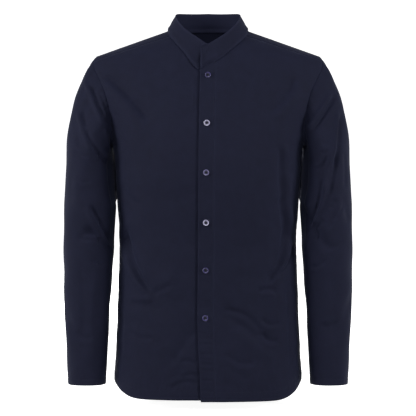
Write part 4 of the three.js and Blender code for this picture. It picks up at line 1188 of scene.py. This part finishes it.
def cloth_piece(name, strips, thick, finish, wear_and_highlight_reach):
    """Joins a panel's strips into one mesh with a UV map along the cloth, and gives it its thickness."""
    points = np.concatenate([s.points for s in strips])
    _, first_at, merged = np.unique(codes(points), return_index=True, return_inverse=True)
    faces, uvs, offset = [], [], 0
    for part, strip in enumerate(strips):
        for quad, corners in zip(merged[strip.quads + offset].tolist(), flat_places(strip, part).tolist()):
            face = list(dict.fromkeys(quad))
            if len(face) > 2:
                faces.append(face)
                uvs += [corners[quad.index(vertex)] for vertex in face]
        offset += len(strip.points)
    piece = piece_of(name, (points[first_at] / 1000).tolist(), faces, finish)
    layer = piece.data.uv_layers.new(name="cloth")
    layer.data.foreach_set("uv", np.array(uvs, np.float32).ravel())
    give_values(piece, "seam", edge_wear_and_highlight(piece.data, wear_and_highlight_reach))
    piece.data.shade_smooth()
    wall = piece.modifiers.new("thickness", "SOLIDIFY")
    wall.thickness, wall.offset, wall.use_even_offset = thick / 1000, -1, False
    outer_count = len(piece.data.vertices)
    apply_modifiers(piece)
    # The inner faces are marked, and the finish paints them paler: painted light on the inside of the shirt.
    give_values(piece, "inside", np.arange(len(piece.data.vertices)) >= outer_count)
    belongs(piece)
    return piece


# Near a cut edge the paling reaches further on the collar, where it is a painted highlight.
plain_cloth, collar_cloth = (CLOTH_THICK, cloth_finish, 0.0022), (COLLAR_THICK, collar_finish, 0.0034)
cloth_pieces = {
    name: cloth_piece(name + "_cloth", strips, *(collar_cloth if name == "collar" else plain_cloth))
    for name, strips in sewn.items()
}

# Topstitching: small threads laid in rows, each row worked once from a list of places along the cloth.
STITCH_PITCH, STITCH_LENGTH, THREAD_RADIUS, THREAD_SIDES = 3.0, 2.3, 0.2, 5


def stitch_form():
    """One stitch along X: a thin thread that dives into the cloth at both ends."""
    rings = [(-0.5, 0.25, -0.5), (-0.38, 0.9, 0.25), (0, 1, 0.5), (0.38, 0.9, 0.25), (0.5, 0.25, -0.5)]
    places, faces = [], []
    for ring, (along, size, rise) in enumerate(rings):
        for k in range(THREAD_SIDES):
            turn = 2 * math.pi * k / THREAD_SIDES
            aside, up = size * math.cos(turn), size * math.sin(turn) + rise
            places.append((along * STITCH_LENGTH, THREAD_RADIUS * aside, THREAD_RADIUS * up))
            if ring:
                a, b = ring * THREAD_SIDES + k, ring * THREAD_SIDES + (k + 1) % THREAD_SIDES
                faces.append((a - THREAD_SIDES, b - THREAD_SIDES, b, a))
    last = (len(rings) - 1) * THREAD_SIDES
    faces += [tuple(reversed(range(THREAD_SIDES))), tuple(range(last, last + THREAD_SIDES))]
    return np.array(places), faces


def unit(vector):
    return vector / np.linalg.norm(vector)


def square_to(vector, direction):
    """The part of a direction that stands square to another, at length 1."""
    return unit(vector - direction * (vector @ direction))


def stitch_row(name, rows):
    """Rows of places with the direction out of the cloth at each, in millimetres."""
    form, faces = stitch_form()
    vertices, all_faces = [], []
    for line, out in rows:
        length = np.concatenate([[0], np.cumsum(np.linalg.norm(np.diff(line, axis=0), axis=1))])

        def along(distance, values):
            return np.array([np.interp(distance, length, values[:, k]) for k in range(3)])

        for middle in np.arange(STITCH_PITCH, length[-1] - STITCH_PITCH / 2, STITCH_PITCH):
            start, end = along(middle - 1, line), along(middle + 1, line)
            ahead = unit(end - start)
            up = square_to(along(middle, out), ahead)
            side = np.cross(up, ahead)
            base = len(vertices)
            worked = (start + end) / 2 + form[:, :1] * ahead + form[:, 1:2] * side + form[:, 2:] * up
            vertices.extend((worked / 1000).tolist())
            all_faces.extend([tuple(base + k for k in face) for face in faces])
    piece = piece_of(name, vertices, all_faces, thread_finish)
    piece.data.shade_smooth()
    belongs(piece)
    return piece


def line_along(strip, distance, edge):
    """Places at one distance from an edge of a strip, with the direction out of the cloth."""
    lengths = dict(zip(("first", "last", "low", "high"), edge_lengths(strip)))[edge]
    grid, normals = strip.grid, Normals([strip]).at(strip.points).reshape(strip.grid.shape)
    if edge in ("low", "high"):
        lengths, grid, normals = (values.swapaxes(0, 1) for values in (lengths, grid, normals))
    places, outs = [], []
    for own, line, out in zip(lengths, grid, normals):
        order = np.argsort(own)
        for kept, values in ((places, line), (outs, out)):
            kept.append([np.interp(distance, own[order], values[order, k]) for k in range(3)])
    return np.array(places), np.array(outs)


# For each row of stitches: the panel's strip, and how far the row lies from which edge.
STITCH_ROWS = {
    "placket": [(0, PLACKET_STITCH, "first"), (0, PLACKET_STITCH, "last"), (0, HEM_STITCH, "low")],
    "front_left": [(0, HEM_STITCH, "low")],
    "front_right": [(0, HEM_STITCH, "low")],
    "back": [(0, HEM_STITCH, "low")],
    "yoke": [(0, 1.9, "high"), (1, 1.9, "high"), (2, 1.9, "high")],
    "collar": [(0, 3.6, "high"), (0, 2.2, "low")],
    "sleeve_left": [(0, SLEEVE_STITCH, "high")],
    "sleeve_right": [(0, SLEEVE_STITCH, "high")],
}
for name, rows in STITCH_ROWS.items():
    lines = [line_along(sewn[name][part], distance, edge) for part, distance, edge in rows]
    stitch_row(name + "_stitches", lines)

# Buttons: their thickness, their holes' radius, how far the holes lie from the middle, and how far the
# threads lie from it along X and along Y.
BUTTON_HEIGHT, HOLE_RADIUS, HOLE_OFFSET, THREAD_OFFSET = 2.4, 0.85, 1.45, 1.03
# The top is stepped inwards from its edge: each step's width and its rise.
BUTTON_STEPS = [(0.4, 0.3), (0.9, 0), (0.3, -0.4), (0.4, -0.5), (1.0, -0.2)]


def cylinder(sides, radius, length, place, turn=(0, 0, 0)):
    """A cylinder by itself in the selection, its size and place in millimetres."""
    deselect()
    where = [p / 1000 for p in place]
    bpy.ops.mesh.primitive_cylinder_add(
        vertices=sides, radius=radius / 1000, depth=length / 1000, location=where, rotation=turn
    )
    return bpy.context.active_object


def step_in(width, rise):
    bpy.ops.mesh.inset(thickness=width / 1000)
    bpy.ops.transform.translate(value=(0, 0, rise / 1000))


def soften(piece, width, smooth_below):
    """Applies what waits on a piece and then a bevel on its sharp edges, and shades it."""
    bevel = piece.modifiers.new("soft_edges", "BEVEL")
    bevel.width, bevel.segments = width / 1000, 2
    bevel.limit_method, bevel.angle_limit = "ANGLE", math.radians(35)
    apply_modifiers(piece)
    bpy.ops.object.shade_smooth_by_angle(angle=math.radians(smooth_below))


def turned_button():
    """A four-hole button with a raised rim and a dish, its back on the plane Z = 0."""
    button = cylinder(40, BUTTON_RADIUS, BUTTON_HEIGHT, (0, 0, BUTTON_HEIGHT / 2))
    bpy.ops.object.mode_set(mode="EDIT")
    bpy.ops.mesh.select_mode(type="FACE")
    select_faces(button, lambda face: face.normal.z > 0.9)
    for width, rise in BUTTON_STEPS:
        step_in(width, rise)
    select_faces(button, lambda face: face.normal.z < -0.9)
    step_in(0.8, -0.1)
    bpy.ops.object.mode_set(mode="OBJECT")
    drills = []
    for quarter in range(4):
        turn = math.pi / 4 + quarter * math.pi / 2
        place = (HOLE_OFFSET * math.cos(turn), HOLE_OFFSET * math.sin(turn), BUTTON_HEIGHT / 2)
        drills.append(cylinder(16, HOLE_RADIUS, 6, place))
        cut = button.modifiers.new("hole_%d" % quarter, "BOOLEAN")
        cut.operation, cut.object, cut.solver = "DIFFERENCE", drills[-1], "EXACT"
    soften(button, 0.18, 40)
    for drill in drills:
        bpy.data.objects.remove(drill)
    reach = np.array([math.hypot(vertex.co.x, vertex.co.y) for vertex in button.data.vertices])
    # Where the rim lies, which the finish paints paler as a painted highlight.
    give_values(button, "rim", smooth(reach, 0.0030, 0.0038))
    return button


def button_thread():
    """Two bars of thread over the holes, and the thread that goes down through each hole."""
    bars = []
    for side in (-1, 1):
        bar = cylinder(10, 0.42, 3.1, (side * THREAD_OFFSET, 0, 1.75), (math.pi / 2, 0, 0))
        bpy.ops.object.mode_set(mode="EDIT")
        select_faces(bar, lambda face: abs(face.normal.z) > 0.9)
        bpy.ops.transform.resize(value=(0.6, 0.6, 1), center_override=bar.location)
        bpy.ops.object.mode_set(mode="OBJECT")
        bars.append(bar)
        bars += [cylinder(10, 0.55, 2.6, (side * THREAD_OFFSET, end * THREAD_OFFSET, 0.6)) for end in (-1, 1)]
    active(bars[0])
    for bar in bars:
        bar.select_set(True)
    bpy.ops.object.join()
    bpy.ops.object.transform_apply(location=True, rotation=True, scale=True)
    soften(bars[0], 0.2, 50)
    return bars[0]


def placed_copy(pattern, name, matrix, finish):
    copy = bpy.data.objects.new(name, pattern.data.copy())
    copy.data.transform(matrix)
    copy.data.materials.clear()
    copy.data.materials.append(finish)
    scene.collection.objects.link(copy)
    belongs(copy)
    return copy


BUTTON_STANDOFF = 0.3
FRONT_LIGHT = (-0.25, -3.9, 0.3)
# How far each button leans away from facing the light in front, in degrees: to its side, and upwards.
BUTTON_LEAN = [(7, -1), (0, 0), (-4, -4), (0, 0.5), (5, -4), (4, -5)]
# How strong the painted highlight on each button's rim is, from 0 to 1.
BUTTON_RIM_HIGHLIGHT = [0.2, 0.8, 0.42, 0.8, 0.22, 0.26]
button_pattern, thread_pattern = turned_button(), button_thread()
unsewn, band = draped["placket"][0].grid, sewn["placket"][0].grid
middle_column = int(np.argmin(np.abs(unsewn[60, :, 0] - (unsewn[60, 0, 0] + unsewn[60, -1, 0]) / 2)))
for k, z in enumerate(BUTTON_Z):
    row = int(np.searchsorted(band[:, middle_column, 2], z))
    place = band[row - 1 : row + 1, middle_column].mean(axis=0)
    place[2] = z
    up = unsewn[row + 2, middle_column] - unsewn[row - 3, middle_column]
    cloth_out = unit(np.cross(unsewn[row, -1] - unsewn[row, 0], up))
    to_camera = Vector(camera.location) - Vector(place / 1000)
    to_light = Vector(FRONT_LIGHT) - Vector(place / 1000)
    facing = (to_camera.normalized() + to_light.normalized()).normalized()
    sideways, upwards = (math.tan(math.radians(lean)) for lean in BUTTON_LEAN[k])
    out = np.array((facing + Vector((sideways, 0, upwards))).normalized())
    # A button that tilts stands off further, so that its lower edge stays out of the cloth.
    tilt = math.acos(min(1.0, float(cloth_out @ out)))
    seat = (place + out * (BUTTON_STANDOFF + BUTTON_RADIUS * math.sin(tilt))) / 1000
    up = square_to(unit(up), out)
    turn = Matrix((np.cross(up, out), up, out)).transposed().to_4x4()
    matrix = Matrix.Translation(Vector(seat)) @ turn
    number = "button_%d" % (k + 1)
    button = placed_copy(button_pattern, number + "_face", matrix, button_finish)
    # How strong this button's painted rim highlight is.
    give_values(button, "polish", [BUTTON_RIM_HIGHLIGHT[k]] * len(button.data.vertices))
    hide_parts(number)
    placed_copy(thread_pattern, number + "_thread", matrix, thread_finish)
bpy.data.objects.remove(button_pattern)
bpy.data.objects.remove(thread_pattern)

# What each sheet was cut to, its width and its length in metres. Its area is the cloth's own.
CUTS = {
    "front_left": (0.270, 0.745),
    "front_right": (0.300, 0.745),
    "placket": (0.031, 0.668),
    "back": (0.560, 0.670),
    "yoke": (0.480, 0.175),
    "collar": (0.440, 0.050),
    "sleeve_left": (0.540, 0.690),
    "sleeve_right": (0.540, 0.690),
}
for name, (width, length) in CUTS.items():
    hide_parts(name)

# The room: a white floor that runs up into a white wall, and soft light.
ROOM_HALF, ROOM_HEIGHT, ROOM_FRONT, ROOM_BACK = 9, 9, -6, 5
SWEEP_START, SWEEP_RADIUS = 3.0, 2.0
FLOOR_Z = cad_box[0][2] - 0.003


def studio_paper():
    """White paper, evenly lit from within behind the shirt and greyer in front of it."""
    paper = Finish("studio_paper")
    place = paper.place()
    grain = paper.noise(place, 60.0, 3.0)
    span = {"Value": paper.axis(place, 1), "From Min": -1.0, "From Max": -0.15}
    behind = paper.node("ShaderNodeMapRange", {}, span)
    paper.set(
        Base_Color=paper.blend(grain, (0.86, 0.86, 0.86, 1), (0.9, 0.9, 0.9, 1)),
        Roughness=0.9,
        Emission_Color=paper.blend(behind, (0.42, 0.42, 0.42, 1), (1, 1, 1, 1)),
        Emission_Strength=0.93,
    )
    return paper.material


def room():
    """The sweep behind the shirt, and three plain walls that only the camera sees."""
    finish = studio_paper()
    bends = [(math.sin(t), 1 - math.cos(t)) for t in np.linspace(0, math.pi / 2, 24)]
    profile = [(SWEEP_START + SWEEP_RADIUS * y, SWEEP_RADIUS * z) for y, z in bends]
    profile = [(ROOM_FRONT, 0.0), *profile, (ROOM_BACK, ROOM_HEIGHT)]
    count = len(profile)
    vertices = [(x, y, z + FLOOR_Z) for x in (-ROOM_HALF, ROOM_HALF) for y, z in profile]
    faces = [(k, k + count, k + count + 1, k + 1) for k in range(count - 1)]
    sweep = piece_of("studio_sweep", vertices, faces, finish)
    sweep.data.shade_smooth()
    left, right = -ROOM_HALF, ROOM_HALF
    corners = [(left, ROOM_BACK), (left, ROOM_FRONT), (right, ROOM_FRONT), (right, ROOM_BACK)]
    vertices = [(x, y, FLOOR_Z + up) for up in (0, ROOM_HEIGHT) for x, y in corners]
    walls = piece_of("studio_walls", vertices, [(k, k + 1, k + 5, k + 4) for k in range(3)], finish)
    sweep.visible_diffuse = walls.visible_diffuse = walls.visible_glossy = False


def area_light(name, place, aim, size, power):
    data = bpy.data.lights.new(name, "AREA")
    data.shape, data.size, data.size_y, data.energy = "RECTANGLE", size[0], size[1], power
    lamp = bpy.data.objects.new(name, data)
    lamp.location = place
    lamp.rotation_euler = (Vector(aim) - Vector(place)).to_track_quat("-Z", "Y").to_euler()
    scene.collection.objects.link(lamp)
    return lamp


room()
area_light("left_softbox", (-2.3, -1.0, 0.5), (0, 0, -0.3), (0.8, 1.6), 54)
area_light("right_softbox", (2.3, -1.0, 0.5), (0, 0, -0.3), (0.8, 1.6), 44)
area_light("top_softbox", (0, -2.8, 1.5), (0, 0, -0.1), (1.6, 1.0), 43)
area_light("front_softbox", FRONT_LIGHT, (0, 0, -0.3), (0.35, 0.35), 10)
back_light = area_light("back_softbox", (-1.2, 3.4, 0.3), (0, 0, -0.35), (1.4, 1.6), 170)
back_light.visible_camera = back_light.visible_glossy = False
scene.world = bpy.data.worlds.new("studio")
scene.world.use_nodes = True
sky = scene.world.node_tree.nodes["Background"]
sky.inputs["Color"].default_value = (1, 1, 1, 1)
sky.inputs["Strength"].default_value = 0.05
scene.view_settings.view_transform = "Standard"
